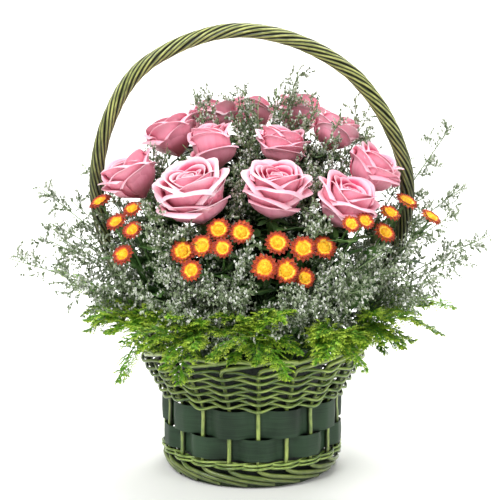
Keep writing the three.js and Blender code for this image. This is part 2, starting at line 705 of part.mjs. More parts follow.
function buildStatice({ foot, fork, tips }, number) {
  const owner = numbered('statice', number);
  const random = randomFrom(101 + number);
  const lean = leaning(...foot, LEANS.staticeFoot);
  const { root, mouth } = stemFoot(foot, lean, STATICE.stem, 3);
  const rise = along(mouth, lean, STATICE.rise);
  const main = room.bend(owner, [root, mouth, rise, fromList(fork)], STATICE.stem + 0.6);
  main[1] = mouth;
  const solids = [rod(main, (t) => STATICE.stem * (1 - 0.2 * t))];
  room.addLine(owner, main, STATICE.stem + 0.6);
  tips.map(fromList).forEach((tip, i) => {
    const start = between(main[3], main[2], i * STATICE.forkStep);
    const arc = between(start, tip, 0.55).add(vector(0, 0, STATICE.arch));
    const branch = room.bend(owner, [start, arc, tip], STATICE.fork + 1);
    solids.push(beadedTwig(branch, STATICE.fork));
    room.addLine(owner, branch, STATICE.fork + 0.6);
    addTwigs(owner, solids, branch, random);
  });
  return piece(owner, fused(solids), STATICE_GREY);
}

// ---------- fern ----------

// A drooping frond in one thin blade: leaflets cut to the rib down both sides.
function frond(owner, line, across) {
  const curve = new THREE.CatmullRomCurve3(line, false, 'centripetal');
  const up = vector(0, 0, FERN.blade);
  const positions = [];
  const index = [];
  const put = (p) => {
    positions.push(p.x, p.y, p.z);
    return positions.length / 3 - 1;
  };
  const pair = (p) => [put(p), put(p.clone().sub(up))];
  const ribs = [];
  const sides = [[], []];
  for (let i = 0; i <= FERN.teeth; i++) {
    const t = i / FERN.teeth;
    const point = curve.getPointAt(t);
    ribs.push(pair(point));
    if (i === FERN.teeth) break;
    const tangent = curve.getTangentAt(t);
    const reach = FERN.tooth * (1 - FERN.taper * t) * (i === 0 ? FERN.first : 1);
    [-1, 1].forEach((side, s) => {
      const lift = FERN.ripple * ((i + s) % 2 ? 1 : -1) - FERN.droop * reach;
      const notch = along(point, across, side * FERN.notch);
      const tip = along(point, across, side * reach)
        .addScaledVector(tangent, FERN.sweep * reach).add(vector(0, 0, lift));
      sides[s].push(pair(notch), pair(tip));
      room.addLine(owner, [point, tip], FERN.blade + 0.8);
    });
  }
  // a triangle on top with its twin below, and the two triangles of an edge
  const face = (a, b, c, flip) => {
    const order = flip ? [a, c, b] : [a, b, c];
    index.push(order[0][0], order[1][0], order[2][0]);
    index.push(order[2][1], order[1][1], order[0][1]);
  };
  const edge = (a, b, flip) => {
    const [p, q] = flip ? [b, a] : [a, b];
    index.push(p[0], p[1], q[1], p[0], q[1], q[0]);
  };
  sides.forEach((side, s) => {
    const flip = s === 1;
    for (let i = 0; i < FERN.teeth; i++) {
      const notch = side[2 * i];
      const tip = side[2 * i + 1];
      const next = i === FERN.teeth - 1 ? ribs[FERN.teeth] : side[2 * i + 2];
      face(ribs[i], ribs[i + 1], notch, flip);
      if (i < FERN.teeth - 1) face(ribs[i + 1], next, notch, flip);
      face(notch, next, tip, flip);
      edge(notch, tip, !flip);
      edge(tip, next, !flip);
    }
  });
  edge(ribs[0], sides[0][0], true);
  edge(ribs[0], sides[1][0], false);
  return solidFrom(indexed(positions, index));
}

function buildFern({ foot, over, tips }, number) {
  const owner = numbered('fern', number);
  const lean = leaning(...foot, LEANS.fernFoot);
  const { root, mouth } = stemFoot(foot, lean, FERN.stem, 3);
  const rise = along(mouth, lean, FERN.rise);
  const main = room.bend(owner, [root, mouth, rise, fromList(over)], FERN.stem + 0.6);
  main[1] = mouth;
  const solids = [rod(main, FERN.stem)];
  room.addLine(owner, main, FERN.stem + 0.6);
  tips.map(fromList).forEach((tip, i) => {
    const start = between(main[3], main[2], 0.02 + i * FERN.forkStep);
    const middle = between(start, tip, 0.5).add(vector(0, 0, FERN.arch));
    const span = tip.clone().sub(start).setZ(0).normalize();
    const across = vector(-span.y, span.x, 0);
    solids.push(frond(owner, [start, middle, tip], across));
  });
  return piece(owner, fused(solids), FERN_GREEN);
}

// ---------- assembly ----------

const arrangement = new THREE.Group();
arrangement.add(buildBasket());
ROSES.forEach((rose, i) => arrangement.add(buildRose(rose, i)));
MUM_SPRAYS.forEach((spray, i) => arrangement.add(buildMumSpray(spray, i)));
FERN_SPRAYS.forEach((spray, i) => arrangement.add(buildFern(spray, i)));
STATICE_SPRAYS.forEach((spray, i) => arrangement.add(buildStatice(spray, i)));
arrangement.add(buildFilling());

export default arrangement;
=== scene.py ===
"""Flower basket arrangement, dressed for the picture.

The solids come packed from the frame. This script gives each of them its finish, or puts a
finer piece in its place: woven rods, ribbon strips, petals, florets, leaflets and leaves.
Sizes are in millimetres up to the last step, where a draft becomes a mesh in metres.
"""

import logging
import math
from dataclasses import dataclass, field
from enum import Enum
from typing import Any

import bpy
import numpy as np
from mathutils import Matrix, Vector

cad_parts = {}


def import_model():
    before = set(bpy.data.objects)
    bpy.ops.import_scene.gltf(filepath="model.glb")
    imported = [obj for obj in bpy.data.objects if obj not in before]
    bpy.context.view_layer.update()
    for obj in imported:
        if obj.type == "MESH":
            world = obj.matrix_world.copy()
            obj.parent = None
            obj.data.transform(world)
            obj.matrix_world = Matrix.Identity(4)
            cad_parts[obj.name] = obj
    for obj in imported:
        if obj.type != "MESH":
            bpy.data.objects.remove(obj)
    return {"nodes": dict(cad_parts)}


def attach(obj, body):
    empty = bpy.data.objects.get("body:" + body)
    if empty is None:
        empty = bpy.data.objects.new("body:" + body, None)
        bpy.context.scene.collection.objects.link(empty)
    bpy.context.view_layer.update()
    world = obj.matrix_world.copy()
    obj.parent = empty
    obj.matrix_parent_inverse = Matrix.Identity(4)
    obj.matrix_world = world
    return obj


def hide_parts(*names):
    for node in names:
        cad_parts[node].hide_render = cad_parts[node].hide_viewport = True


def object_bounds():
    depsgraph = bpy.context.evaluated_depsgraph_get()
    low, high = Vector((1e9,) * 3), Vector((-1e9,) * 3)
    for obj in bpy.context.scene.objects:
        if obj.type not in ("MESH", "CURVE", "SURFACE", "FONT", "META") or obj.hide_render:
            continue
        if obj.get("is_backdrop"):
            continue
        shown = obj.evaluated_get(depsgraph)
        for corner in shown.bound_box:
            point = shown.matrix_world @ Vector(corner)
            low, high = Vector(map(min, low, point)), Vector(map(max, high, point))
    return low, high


Pair = tuple[float, float]
Place = tuple[float, float, float]
Material = bpy.types.Material
Random = np.random.Generator

LOG = logging.getLogger("flower_basket")
MM = 0.001
BODY = "root"

# ---------------------------------------------------------------- sizes that pieces share

STAKES = 20
STAKE_STEP = 360 / STAKES
FIRST_STAKE = 3.9
STAKE_RADIUS = 2.2
WALL_RADIUS = 84.0
FLARE_START = 74.5
FLARE_SLOPE = 0.56
FOAM_TOP = 109.0
STEM_DEPTH = 26.0
STEM_MOUTH = 3.0
STEM_GATHER = 0.26

UP = np.array([0.0, 0.0, 1.0])
LEVEL = np.array([1.0, 1.0, 0.0])
NO_QUADS = np.empty((0, 4), int)
NO_TRIS = np.empty((0, 3), int)

# ---------------------------------------------------------------- vectors and lines

NEARLY_UPRIGHT = 0.9
CURVE_FINENESS = 12
PHASE = 6.0  # a wave starts anywhere in about one turn, in radians


def vec(*numbers: float) -> np.ndarray:
    """Returns the numbers as one vector."""
    return np.array(numbers, float)


def unit(v: np.ndarray) -> np.ndarray:
    """Returns the vectors at length one."""
    return v / np.maximum(np.linalg.norm(v, axis=-1, keepdims=True), 1e-9)


def square_to(axis: np.ndarray, v: np.ndarray) -> np.ndarray:
    """Returns the part of v that is square to the axis, at length one."""
    return unit(v - (v * axis).sum(-1, keepdims=True) * axis)


def polar(radius: Any, degrees: Any, height: Any) -> np.ndarray:
    """Points round the basket's axis, with angles from the front towards +X.

    Args:
        radius: distance from the axis.
        degrees: angle from -Y towards +X.
        height: height over the table.

    Returns:
        Points with their coordinates on the last axis.
    """
    turn = np.radians(degrees)
    parts = np.broadcast_arrays(radius * np.sin(turn), -radius * np.cos(turn), height)
    return np.stack(parts, axis=-1).astype(float)


def smooth(x: Any, low: float, high: float) -> Any:
    """Returns 0 below low, 1 above high and a smooth step in between."""
    t = np.clip((x - low) / (high - low), 0, 1)
    return t * t * (3 - 2 * t)


def blade(rows: int, columns: int) -> tuple[np.ndarray, np.ndarray]:
    """Returns 0 to 1 up a blade, as a column of rows, and -1 to 1 across it, as a row."""
    return np.linspace(0, 1, rows)[:, None], np.linspace(-1, 1, columns)[None, :]


def resample(line: np.ndarray, count: int) -> np.ndarray:
    """Spaces points evenly along a line.

    Args:
        line: the points of the line.
        count: how many points come back.

    Returns:
        The evenly spaced points.
    """
    steps = np.concatenate([[0], np.cumsum(np.linalg.norm(np.diff(line, axis=0), axis=1))])
    at = np.linspace(0, steps[-1], count)
    return np.stack([np.interp(at, steps, line[:, k]) for k in range(3)], axis=-1)


def curve(knots: Any, count: int) -> np.ndarray:
    """A smooth line through some knots.

    Args:
        knots: the points that the line passes through.
        count: how many points come back, evenly spaced along the line.

    Returns:
        Points of the line.
    """
    knots = np.asarray(knots, float)
    padded = np.vstack([2 * knots[0] - knots[1], knots, 2 * knots[-1] - knots[-2]])
    dense = []
    for i in range(len(knots) - 1):
        p = padded[i:i + 4]
        span = np.sqrt(np.maximum(np.linalg.norm(np.diff(p, axis=0), axis=1), 1e-6))
        t0, t1, t2, t3 = np.concatenate([[0.0], np.cumsum(span)])
        t = np.linspace(t1, t2, CURVE_FINENESS, endpoint=False)[:, None]
        a = [((t1 - t) * p[0] + (t - t0) * p[1]) / (t1 - t0),
             ((t2 - t) * p[1] + (t - t1) * p[2]) / (t2 - t1),
             ((t3 - t) * p[2] + (t - t2) * p[3]) / (t3 - t2)]
        b = [((t2 - t) * a[0] + (t - t0) * a[1]) / (t2 - t0),
             ((t3 - t) * a[1] + (t - t1) * a[2]) / (t3 - t1)]
        dense.append(((t2 - t) * b[0] + (t - t1) * b[1]) / (t2 - t1))
    return resample(np.vstack([*dense, knots[-1]]), count)


def places_on(lines: np.ndarray, place: np.ndarray) -> tuple[np.ndarray, np.ndarray]:
    """Places along several lines, and the way the lines run there.

    Args:
        lines: the lines, with the same number of points each.
        place: how far along them, counted in points.

    Returns:
        The points and the directions, as (line, place, xyz).
    """
    low = np.minimum(np.floor(place).astype(int), lines.shape[1] - 2)
    part = (place - low)[None, :, None]
    at = lines[:, low] * (1 - part) + lines[:, low + 1] * part
    return at, unit(lines[:, low + 1] - lines[:, low])


def frame_about(axis: np.ndarray) -> tuple[np.ndarray, np.ndarray]:
    """Two directions square to an axis and to each other.

    Args:
        axis: one direction, or several.

    Returns:
        The two directions, for each axis.
    """
    upright = np.abs(axis[..., 2:3]) > NEARLY_UPRIGHT
    across = square_to(axis, np.where(upright, vec(1, 0, 0), UP))
    return across, np.cross(axis, across)


class Bearing(Enum):
    """How far a kind of stem or bloom leans out: least tilt, most tilt and gain a millimetre."""

    BLOOM = (3.0, 33.0, 0.25)
    ROSE_FOOT = (3.0, 25.0, 0.5)
    MUM_FOOT = (3.0, 30.0, 0.5)
    STATICE_FOOT = (3.0, 38.0, 0.6)
    FERN_FOOT = (3.0, 42.0, 0.6)

    def at(self, x: float, y: float) -> np.ndarray:
        """The direction of this kind of stem or bloom at a place.

        Args:
            x: place to the right of the middle.
            y: place behind the middle.

        Returns:
            A direction up and out from the middle.
        """
        least, most, gain = self.value
        reach = math.hypot(x, y)
        tilt = math.radians(min(most, least + gain * reach))
        return vec(x / reach * math.sin(tilt), y / reach * math.sin(tilt), math.cos(tilt))

    def planted(self, x: float, y: float) -> tuple[np.ndarray, np.ndarray, np.ndarray]:
        """The foot of a stem that stands in the foam.

        Args:
            x: place to the right of the middle.
            y: place behind the middle.

        Returns:
            The root in the foam, the mouth of its hole, and the way the stem leans.
        """
        lean = self.at(x, y)
        mouth = vec(x, y, FOAM_TOP + STEM_MOUTH)
        return mouth - lean * STEM_DEPTH, mouth, lean


# ---------------------------------------------------------------- drafts of meshes


def copies(faces: np.ndarray, count: int, step: int) -> np.ndarray:
    """Repeats the faces of one shape for several shapes in a row.

    Args:
        faces: the faces of the first shape.
        count: how many shapes there are.
        step: how many points each has.

    Returns:
        The faces of them all.
    """
    shift = (np.arange(count) * step)[:, None, None]
    return (faces[None] + shift).reshape(-1, faces.shape[-1])


def for_each(value: Any, count: int, step: int) -> np.ndarray:
    """Returns a number, or one for each of the shapes, repeated for each shape's points."""
    return np.repeat(np.broadcast_to(np.asarray(value, float).reshape(-1), (count,)), step)


def show(name: str, data: Any) -> bpy.types.Object:
    """Makes an object of some data and puts it in the scene.

    Args:
        name: its name.
        data: its mesh, light or camera.

    Returns:
        The object.
    """
    made = bpy.data.objects.new(name, data)
    bpy.context.scene.collection.objects.link(made)
    return made


class Draft:
    """Points, faces and values that become the mesh of one piece."""

    STAR_LIFT = 0.3
    STAR_DIMPLE = 0.1
    STAR_EYE = 0.3

    def __init__(self) -> None:
        """Starts an empty draft."""
        self.points: list[np.ndarray] = []
        self.quads: list[np.ndarray] = []
        self.tris: list[np.ndarray] = []
        self.values: dict[str, list[np.ndarray]] = {}
        self.count = 0

    def add(self, points: np.ndarray, quads: np.ndarray = NO_QUADS, tris: np.ndarray = NO_TRIS,
            **values: Any) -> None:
        """Adds a bit of mesh.

        Args:
            points: its points.
            quads: its four-sided faces, by index into points.
            tris: its three-sided faces.
            **values: what varies over it, a number or one number for each point.
        """
        points = points.reshape(-1, 3)
        self.points.append(points)
        self.quads.append(quads + self.count)
        self.tris.append(tris + self.count)
        for name in {**self.values, **values}:
            series = self.values.setdefault(name, [np.zeros(self.count)])
            given = np.asarray(values.get(name, 0.0), float).reshape(-1)
            series.append(np.broadcast_to(given, (len(points),)))
        self.count += len(points)

    def sweep(self, paths: np.ndarray, radii: Any, sides: int, closed: bool = False,
              outward: np.ndarray | None = None, **values: Any) -> None:
        """Adds round rods along lines that all have the same number of points.

        Args:
            paths: one line, or several stacked.
            radii: a number, one for each point, or one for each point of each line.
            sides: corners of the section.
            closed: whether each line runs back into its start.
            outward: for each point of each line, the way out of the weave. The value
                "crown" is then 1 where a rod looks that way and -1 at its back.
            **values: extra values, a number or one for each line.
        """
        paths = paths if paths.ndim == 3 else paths[None]
        m, n, _ = paths.shape
        radii = np.broadcast_to(np.asarray(radii, float), (m, n))
        if closed:
            tangent = unit(np.roll(paths, -1, 1) - np.roll(paths, 1, 1))
        else:
            ahead = np.concatenate([paths[:, 1:], paths[:, -1:]], 1)
            tangent = unit(ahead - np.concatenate([paths[:, :1], paths[:, :-1]], 1))
        across = np.empty_like(paths)
        side = frame_about(tangent[:, 0])[0]
        for i in range(n):
            side = square_to(tangent[:, i], side)
            across[:, i] = side
        up = np.cross(tangent, across)
        angle = np.arange(sides) * 2 * math.pi / sides
        ring = np.cos(angle)[:, None] * across[:, :, None] + np.sin(angle)[:, None] * up[:, :, None]
        points = paths[:, :, None] + radii[:, :, None, None] * ring
        i, s = np.meshgrid(np.arange(n if closed else n - 1), np.arange(sides), indexing="ij")
        j, t = (i + 1) % n, (s + 1) % sides
        quads = np.stack([i * sides + s, i * sides + t, j * sides + t, j * sides + s], -1)
        tris = NO_TRIS
        if not closed:
            fan = np.array([(0, k + 1, k) for k in range(1, sides - 1)])
            tris = np.vstack([fan, (n - 1) * sides + fan[:, [0, 2, 1]]])
        run = np.linalg.norm(np.diff(paths, axis=1), axis=2).cumsum(1)
        run = np.concatenate([np.zeros((m, 1)), run], 1)
        spread = {name: for_each(value, m, n * sides) for name, value in values.items()}
        if outward is not None:
            spread["crown"] = (ring * outward[..., None, :]).sum(-1)
        self.add(points, copies(quads.reshape(-1, 4), m, n * sides), copies(tris, m, n * sides),
                 run=np.repeat(run.ravel(), sides),
                 around=np.tile(np.arange(sides) / sides, m * n),
                 along=np.tile(np.repeat(np.linspace(0, 1, n), sides), m), **spread)

    def sheets(self, grid: np.ndarray, thickness: float, **values: Any) -> None:
        """Adds thin closed blades from grids of points.

        Args:
            grid: points as (row, column, xyz) for one blade, or stacked for several. Its
                outside is to the right of the rows, seen along the columns.
            thickness: how thick the blades are.
            **values: a number, one for each blade, or what broadcasts over rows and columns.
        """
        grid = grid if grid.ndim == 4 else grid[None]
        m, r, c, _ = grid.shape
        normal = unit(np.cross(np.gradient(grid, axis=2), np.gradient(grid, axis=1)))
        both = np.stack([grid + normal * thickness / 2, grid - normal * thickness / 2], 1)
        index = np.arange(r * c).reshape(r, c)
        front = np.stack([index[:-1, :-1], index[:-1, 1:], index[1:, 1:], index[1:, :-1]], -1)
        front = front.reshape(-1, 4)
        rim = np.concatenate([index[0, :-1], index[:-1, -1], index[-1, :0:-1], index[:0:-1, 0]])
        following = np.roll(rim, -1)
        wall = np.stack([rim, rim + r * c, following + r * c, following], -1)
        quads = np.vstack([front, front[:, ::-1] + r * c, wall])
        spread = {"outside": np.broadcast_to(vec(1, 0)[:, None, None], (m, 2, r, c))}
        for name, value in values.items():
            value = np.asarray(value, float)
            value = value[:, None, None] if value.ndim == 1 else value
            spread[name] = np.stack([np.broadcast_to(value, (m, r, c))] * 2, 1)
        self.add(both, copies(quads, m, 2 * r * c), **spread)

    def stars(self, centres: np.ndarray, axes: np.ndarray, radii: np.ndarray, petals: int,
              notch: float, depth: float, **values: Any) -> None:
        """Adds tiny closed florets: stars with a dimple on top and a point below.

        Args:
            centres: where they sit.
            axes: the way they face.
            radii: how far their petals reach.
            petals: petals of each.
            notch: how far in the gaps between petals go, for a reach of one.
            depth: depth of the cup, for a reach of one.
            **values: a number or one for each floret.
        """
        m, ring = len(centres), petals * 2
        across, up = frame_about(axes)
        k = np.arange(ring)
        angle = k * math.pi / petals
        reach = np.where(k % 2, notch, 1.0)
        lift = self.STAR_LIFT * (reach - notch)
        out = np.cos(angle)[:, None] * across[:, None] + np.sin(angle)[:, None] * up[:, None]
        rim = centres[:, None] + radii[:, None, None] * (
            reach[:, None] * out + axes[:, None] * lift[:, None])
        middle = [centres[:, None] - axes[:, None] * (share * radii)[:, None, None]
                  for share in (self.STAR_DIMPLE, depth)]
        top, foot, following = np.full(ring, ring), np.full(ring, ring + 1), (k + 1) % ring
        tris = np.vstack([np.stack([k, following, top], -1), np.stack([following, k, foot], -1)])
        spread = {name: for_each(value, m, ring + 2) for name, value in values.items()}
        self.add(np.concatenate([rim, *middle], 1), tris=copies(tris, m, ring + 2),
                 along=np.tile(np.append(reach, [self.STAR_EYE, 0.0]), m), **spread)

    def piece(self, name: str, material: Material, slot: str,
              nodes: tuple[str, ...], sharp: float = 50.0) -> None:
        """Makes the mesh object, hangs it on the body that it rides on, and hides the solids that it
        stands for.

        Args:
            name: name of the piece.
            material: its finish.
            slot: the record's slot that the finish comes from; not used.
            nodes: solids of the frame that it stands for.
            sharp: faces that meet at more than this many degrees keep a crisp edge.
        """
        quads, tris = np.vstack([NO_QUADS, *self.quads]), np.vstack([NO_TRIS, *self.tris])
        points = np.vstack(self.points) * MM
        loops = np.concatenate([quads.ravel(), tris.ravel()]).astype(np.int32)
        corners = np.repeat([4, 3], [len(quads), len(tris)])
        starts = (np.cumsum(corners) - corners).astype(np.int32)
        mesh = bpy.data.meshes.new(name)
        mesh.vertices.add(len(points))
        mesh.vertices.foreach_set("co", points.astype(np.float32).ravel())
        mesh.loops.add(len(loops))
        mesh.loops.foreach_set("vertex_index", loops)
        mesh.polygons.add(len(starts))
        mesh.polygons.foreach_set("loop_start", starts)
        mesh.update(calc_edges=True)
        for key, series in self.values.items():
            layer = mesh.attributes.new(key, "FLOAT", "POINT")
            layer.data.foreach_set("value", np.concatenate(series).astype(np.float32))
        mesh.shade_smooth()
        mesh.set_sharp_from_angle(angle=math.radians(sharp))
        mesh.materials.append(material)
        made = show(name, mesh)
        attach(made, BODY)
        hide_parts(*nodes)
        LOG.info("%s: %d faces", name, len(starts))


# ---------------------------------------------------------------- room between the pieces


class Obstacles:
    """Balls that stand for blooms and the handle, in a room as large as the solids' box."""

    def __init__(self, low: np.ndarray, high: np.ndarray) -> None:
        """Starts with open space.

        Args:
            low: the room's lowest corner.
            high: its highest corner.
        """
        self.low, self.high = low, high
        self.centres = np.empty((0, 3))
        self.radii = np.empty(0)

    def add(self, points: np.ndarray, radius: float) -> None:
        """Adds balls.

        Args:
            points: the middle of each, or one middle.
            radius: the radius of them all.
        """
        points = points.reshape(-1, 3)
        self.centres = np.vstack([self.centres, points])
        self.radii = np.append(self.radii, np.full(len(points), float(radius)))

    def depth(self, points: np.ndarray, margin: float) -> np.ndarray:
        """How deep points lie in a ball or past a wall.

        Args:
            points: the points.
            margin: clearance to leave.

        Returns:
            The depth of each point, below zero where it is clear.
        """
        gap = np.linalg.norm(points[:, None] - self.centres, axis=-1)
        past = np.maximum(self.low + margin - points, points - self.high + margin).max(axis=1)
        return np.maximum((self.radii + margin - gap).max(axis=1), past)

    def clear(self, points: np.ndarray, margin: float) -> bool:
        """Returns whether all the points are clear of the balls and the walls."""
        return bool((self.depth(points, margin) < 0).all())

    def inside(self, points: np.ndarray, margin: float) -> np.ndarray:
        """Returns the points, moved in where they lie past a wall."""
        return np.clip(points, self.low + margin, self.high - margin)

    def bend(self, line: np.ndarray, margin: float, passes: int = 10) -> np.ndarray:
        """Moves a line's inner points out of the balls.

        Args:
            line: the points.
            margin: clearance to leave.
            passes: how often every point is moved.

        Returns:
            The bent line.
        """
        line = line.copy()
        rows = np.arange(len(line) - 2)
        for _ in range(passes):
            away = line[1:-1, None] - self.centres
            push = self.radii + margin - np.linalg.norm(away, axis=-1)
            worst = push.argmax(axis=1)
            amount = np.maximum(push[rows, worst], 0)[:, None]
            line[1:-1] += unit(away[rows, worst]) * amount
        return line


# ---------------------------------------------------------------- finishes


def rgb(code: str) -> tuple[float, float, float, float]:
    """Turns a colour code into the linear colour that shaders take.

    Args:
        code: two digits each of red, green and blue, such as "8fa048".

    Returns:
        Red, green, blue and alpha.
    """
    parts = [int(code[i:i + 2], 16) / 255 for i in (0, 2, 4)]
    linear = [c / 12.92 if c <= 0.04045 else ((c + 0.055) / 1.055) ** 2.4 for c in parts]
    return (*linear, 1.0)


class Value:
    """A node's output that takes part in arithmetic."""

    def __init__(self, recipe: "Recipe", socket: bpy.types.NodeSocket) -> None:
        """Keeps the socket and the recipe that it belongs to."""
        self.recipe = recipe
        self.socket = socket

    def math(self, operation: str, a: Any, b: Any) -> "Value":
        """Returns the outcome of a Math node on a and b."""
        return self.recipe.node("ShaderNodeMath", {"operation": operation}, {0: a, 1: b})

    def __add__(self, other: Any) -> "Value":
        """Returns this plus other."""
        return self.math("ADD", self, other)

    __radd__ = __add__

    def __mul__(self, other: Any) -> "Value":
        """Returns this times other."""
        return self.math("MULTIPLY", self, other)

    __rmul__ = __mul__

    def __sub__(self, other: Any) -> "Value":
        """Returns this minus other."""
        return self.math("SUBTRACT", self, other)

    def __rsub__(self, other: Any) -> "Value":
        """Returns other minus this."""
        return self.math("SUBTRACT", other, self)

    def step(self, start: float, end: float) -> "Value":
        """Returns a smooth step from 0 at the start to 1 at the end."""
        return self.recipe.node(
            "ShaderNodeMapRange", {"interpolation_type": "SMOOTHSTEP", "clamp": True},
            {"Value": self, "From Min": start, "From Max": end})


class Recipe:
    """The node tree of one finish."""

    def __init__(self, name: str) -> None:
        """Makes an empty material.

        Args:
            name: its name.
        """
        self.material = bpy.data.materials.new(name)
        self.material.use_nodes = True
        self.tree = self.material.node_tree
        self.tree.nodes.clear()

    def add(self, kind: str, settings: dict[str, Any] | None = None,
            inputs: dict[Any, Any] | None = None) -> bpy.types.Node:
        """Adds a node of any kind.

        Args:
            kind: the node's type.
            settings: its properties. "stops" holds a ramp's positions and colour codes.
            inputs: values, links or colour codes, by socket name or number.

        Returns:
            The node.
        """
        made = self.tree.nodes.new(kind)
        for key, value in (settings or {}).items():
            if key == "stops":
                ramp = made.color_ramp
                while len(ramp.elements) < len(value):
                    ramp.elements.new(0.5)
                for element, (position, code) in zip(ramp.elements, value):
                    element.position = position
                    element.color = rgb(code)
            else:
                setattr(made, key, value)
        for key, value in (inputs or {}).items():
            if isinstance(value, Value):
                self.tree.links.new(value.socket, made.inputs[key])
            else:
                made.inputs[key].default_value = rgb(value) if isinstance(value, str) else value
        return made

    def node(self, kind: str, settings: dict[str, Any] | None = None,
             inputs: dict[Any, Any] | None = None, output: Any = 0) -> Value:
        """Adds a node and returns one of its outputs, by name or number."""
        return Value(self, self.add(kind, settings, inputs).outputs[output])

    def attribute(self, name: str) -> Value:
        """Returns a value that the mesh carries."""
        return self.node("ShaderNodeAttribute", {"attribute_name": name}, output="Fac")

    def height(self) -> Value:
        """Returns the height over the table, in metres."""
        place = self.node("ShaderNodeTexCoord", output="Object")
        return self.node("ShaderNodeSeparateXYZ", None, {0: place}, output=2)

    def mix(self, factor: Any, a: Any, b: Any) -> Value:
        """Returns colour a blended towards colour b by the factor."""
        return self.node("ShaderNodeMix", {"data_type": "RGBA"}, {0: factor, 6: a, 7: b}, output=2)

    def ramp(self, value: Value, stops: tuple[tuple[float, str], ...]) -> Value:
        """Returns the colour that a ramp of positions and colour codes gives a value."""
        return self.node("ShaderNodeValToRGB", {"stops": stops}, {"Fac": value})

    def noise(self, scale: float, detail: float = 3.0, vector: Value | None = None) -> Value:
        """Noise over the object's own coordinates, or over a given vector.

        Args:
            scale: how fine it is.
            detail: how many finer layers it has.
            vector: what takes the place of the coordinates.

        Returns:
            The noise, about 0.5.
        """
        if vector is None:
            vector = self.node("ShaderNodeTexCoord", output="Object")
        return self.node("ShaderNodeTexNoise", None,
                         {"Vector": vector, "Scale": scale, "Detail": detail}, output="Fac")

    def stretched(self, x: Value, y: Value, z: Value, detail: float) -> Value:
        """Returns noise over three values that the mesh carries."""
        return self.noise(1.0, detail, self.node("ShaderNodeCombineXYZ", None, {0: x, 1: y, 2: z}))

    def grain(self, along: float, around: float) -> Value:
        """Returns streaky noise, given how fast it changes along and around a rod or blade."""
        return self.stretched(self.attribute("run") * along, self.attribute("around") * around,
                              self.attribute("tint") * 37.0, 4.0)

    def bump(self, height: Value, distance: float, strength: float) -> Value:
        """Returns a normal from a height, with its depth in metres."""
        return self.node("ShaderNodeBump", None,
                         {"Strength": strength, "Distance": distance, "Height": height},
                         output="Normal")

    def surface(self, sockets: dict[str, Any]) -> Material:
        """Ends the recipe with its surface shader.

        Args:
            sockets: values, links or colour codes, by socket name.

        Returns:
            The finished material.
        """
        shader = self.node("ShaderNodeBsdfPrincipled", None, sockets)
        self.add("ShaderNodeOutputMaterial", None, {"Surface": shader})
        return self.material


@dataclass(frozen=True)
class DyedWillow:
    """Peeled willow rods, dyed green, with darker streaks. Painted shade darkens each rod's sides that
    face away from the weave and the light above, and the gaps between rods; the colour also grows darker
    towards the bottom.
    """

    name: str
    light: str
    middle: str
    dark: str = "17230c"
    streak: float = 0.5
    # Range of the crown value over which the painted shade fades: full shade below it, none above it.
    crown: Pair = (0.1, 0.9)
    roughness: float = 0.36
    # How much the colour darkens towards the bottom, below the band of heights (in metres) that follows.
    low_darkening: float = 0.0
    low_darkening_band: Pair = (0.0, 0.02)

    def make(self) -> Material:
        """Builds the finish.

        Returns:
            The material.
        """
        r = Recipe(self.name)
        fine, broad, patch = r.grain(0.12, 9.0), r.grain(0.025, 2.0), r.noise(28.0, 2.0)
        tone = r.mix((fine * 0.6 + broad * 0.4).step(0.34, 0.62), self.middle, self.light)
        worn = (fine * 0.5 + patch * 0.5).step(0.6, 0.4)
        color = r.mix(worn * self.streak, tone, self.dark)
        # Painted shade: dark where a rod faces away from the weave and the light above, so the crowns
        # look lit and the gaps between rods look shaded.
        painted_shade = 1.0 - (r.attribute("crown") + fine * 0.2 - 0.1).step(*self.crown)
        color = r.mix(painted_shade * 0.96, color, self.dark)
        # Darker towards the bottom: fully below the band, not at all above it.
        low = 1.0 - r.height().step(*self.low_darkening_band)
        color = r.mix(low * self.low_darkening, color, self.dark)
        return r.surface({
            "Base Color": color, "Roughness": fine * 0.25 + (self.roughness - 0.1),
            "Coat Weight": 0.25, "Coat Roughness": 0.2, "Normal": r.bump(fine, 0.0006, 0.5)})


@dataclass(frozen=True)
class ChipRibbon:
    """Broad strips of thin chip wood, dyed bottle green, with a satin face."""

    name: str = "dyed_chip_strip"
    light: str = "2e4630"
    dark: str = "152718"

    def make(self) -> Material:
        """Builds the finish.

        Returns:
            The material.
        """
        r = Recipe(self.name)
        grain, shade = r.grain(0.02, 22.0), r.noise(22.0, 2.0)
        color = r.mix((grain * 0.35 + shade * 0.65).step(0.32, 0.68), self.dark, self.light)
        return r.surface({
            "Base Color": color, "Roughness": grain * 0.2 + 0.45,
            "Specular IOR Level": 0.3, "Normal": r.bump(grain, 0.0003, 0.3)})


@dataclass(frozen=True)
class Speckled:
    """A plain stuff with speckles and a grainy face: board, liner film or foam."""

    name: str
    light: str
    dark: str
    scale: float
    roughness: float
    relief: float

    def make(self) -> Material:
        """Builds the finish.

        Returns:
            The material.
        """
        r = Recipe(self.name)
        fine, broad = r.noise(self.scale, 5.0), r.noise(self.scale / 9, 2.0)
        color = r.mix((fine * 0.6 + broad * 0.4).step(0.35, 0.65), self.dark, self.light)
        return r.surface({
            "Base Color": color, "Roughness": broad * 0.2 + (self.roughness - 0.1),
            "Normal": r.bump(fine, self.relief, 0.7)})


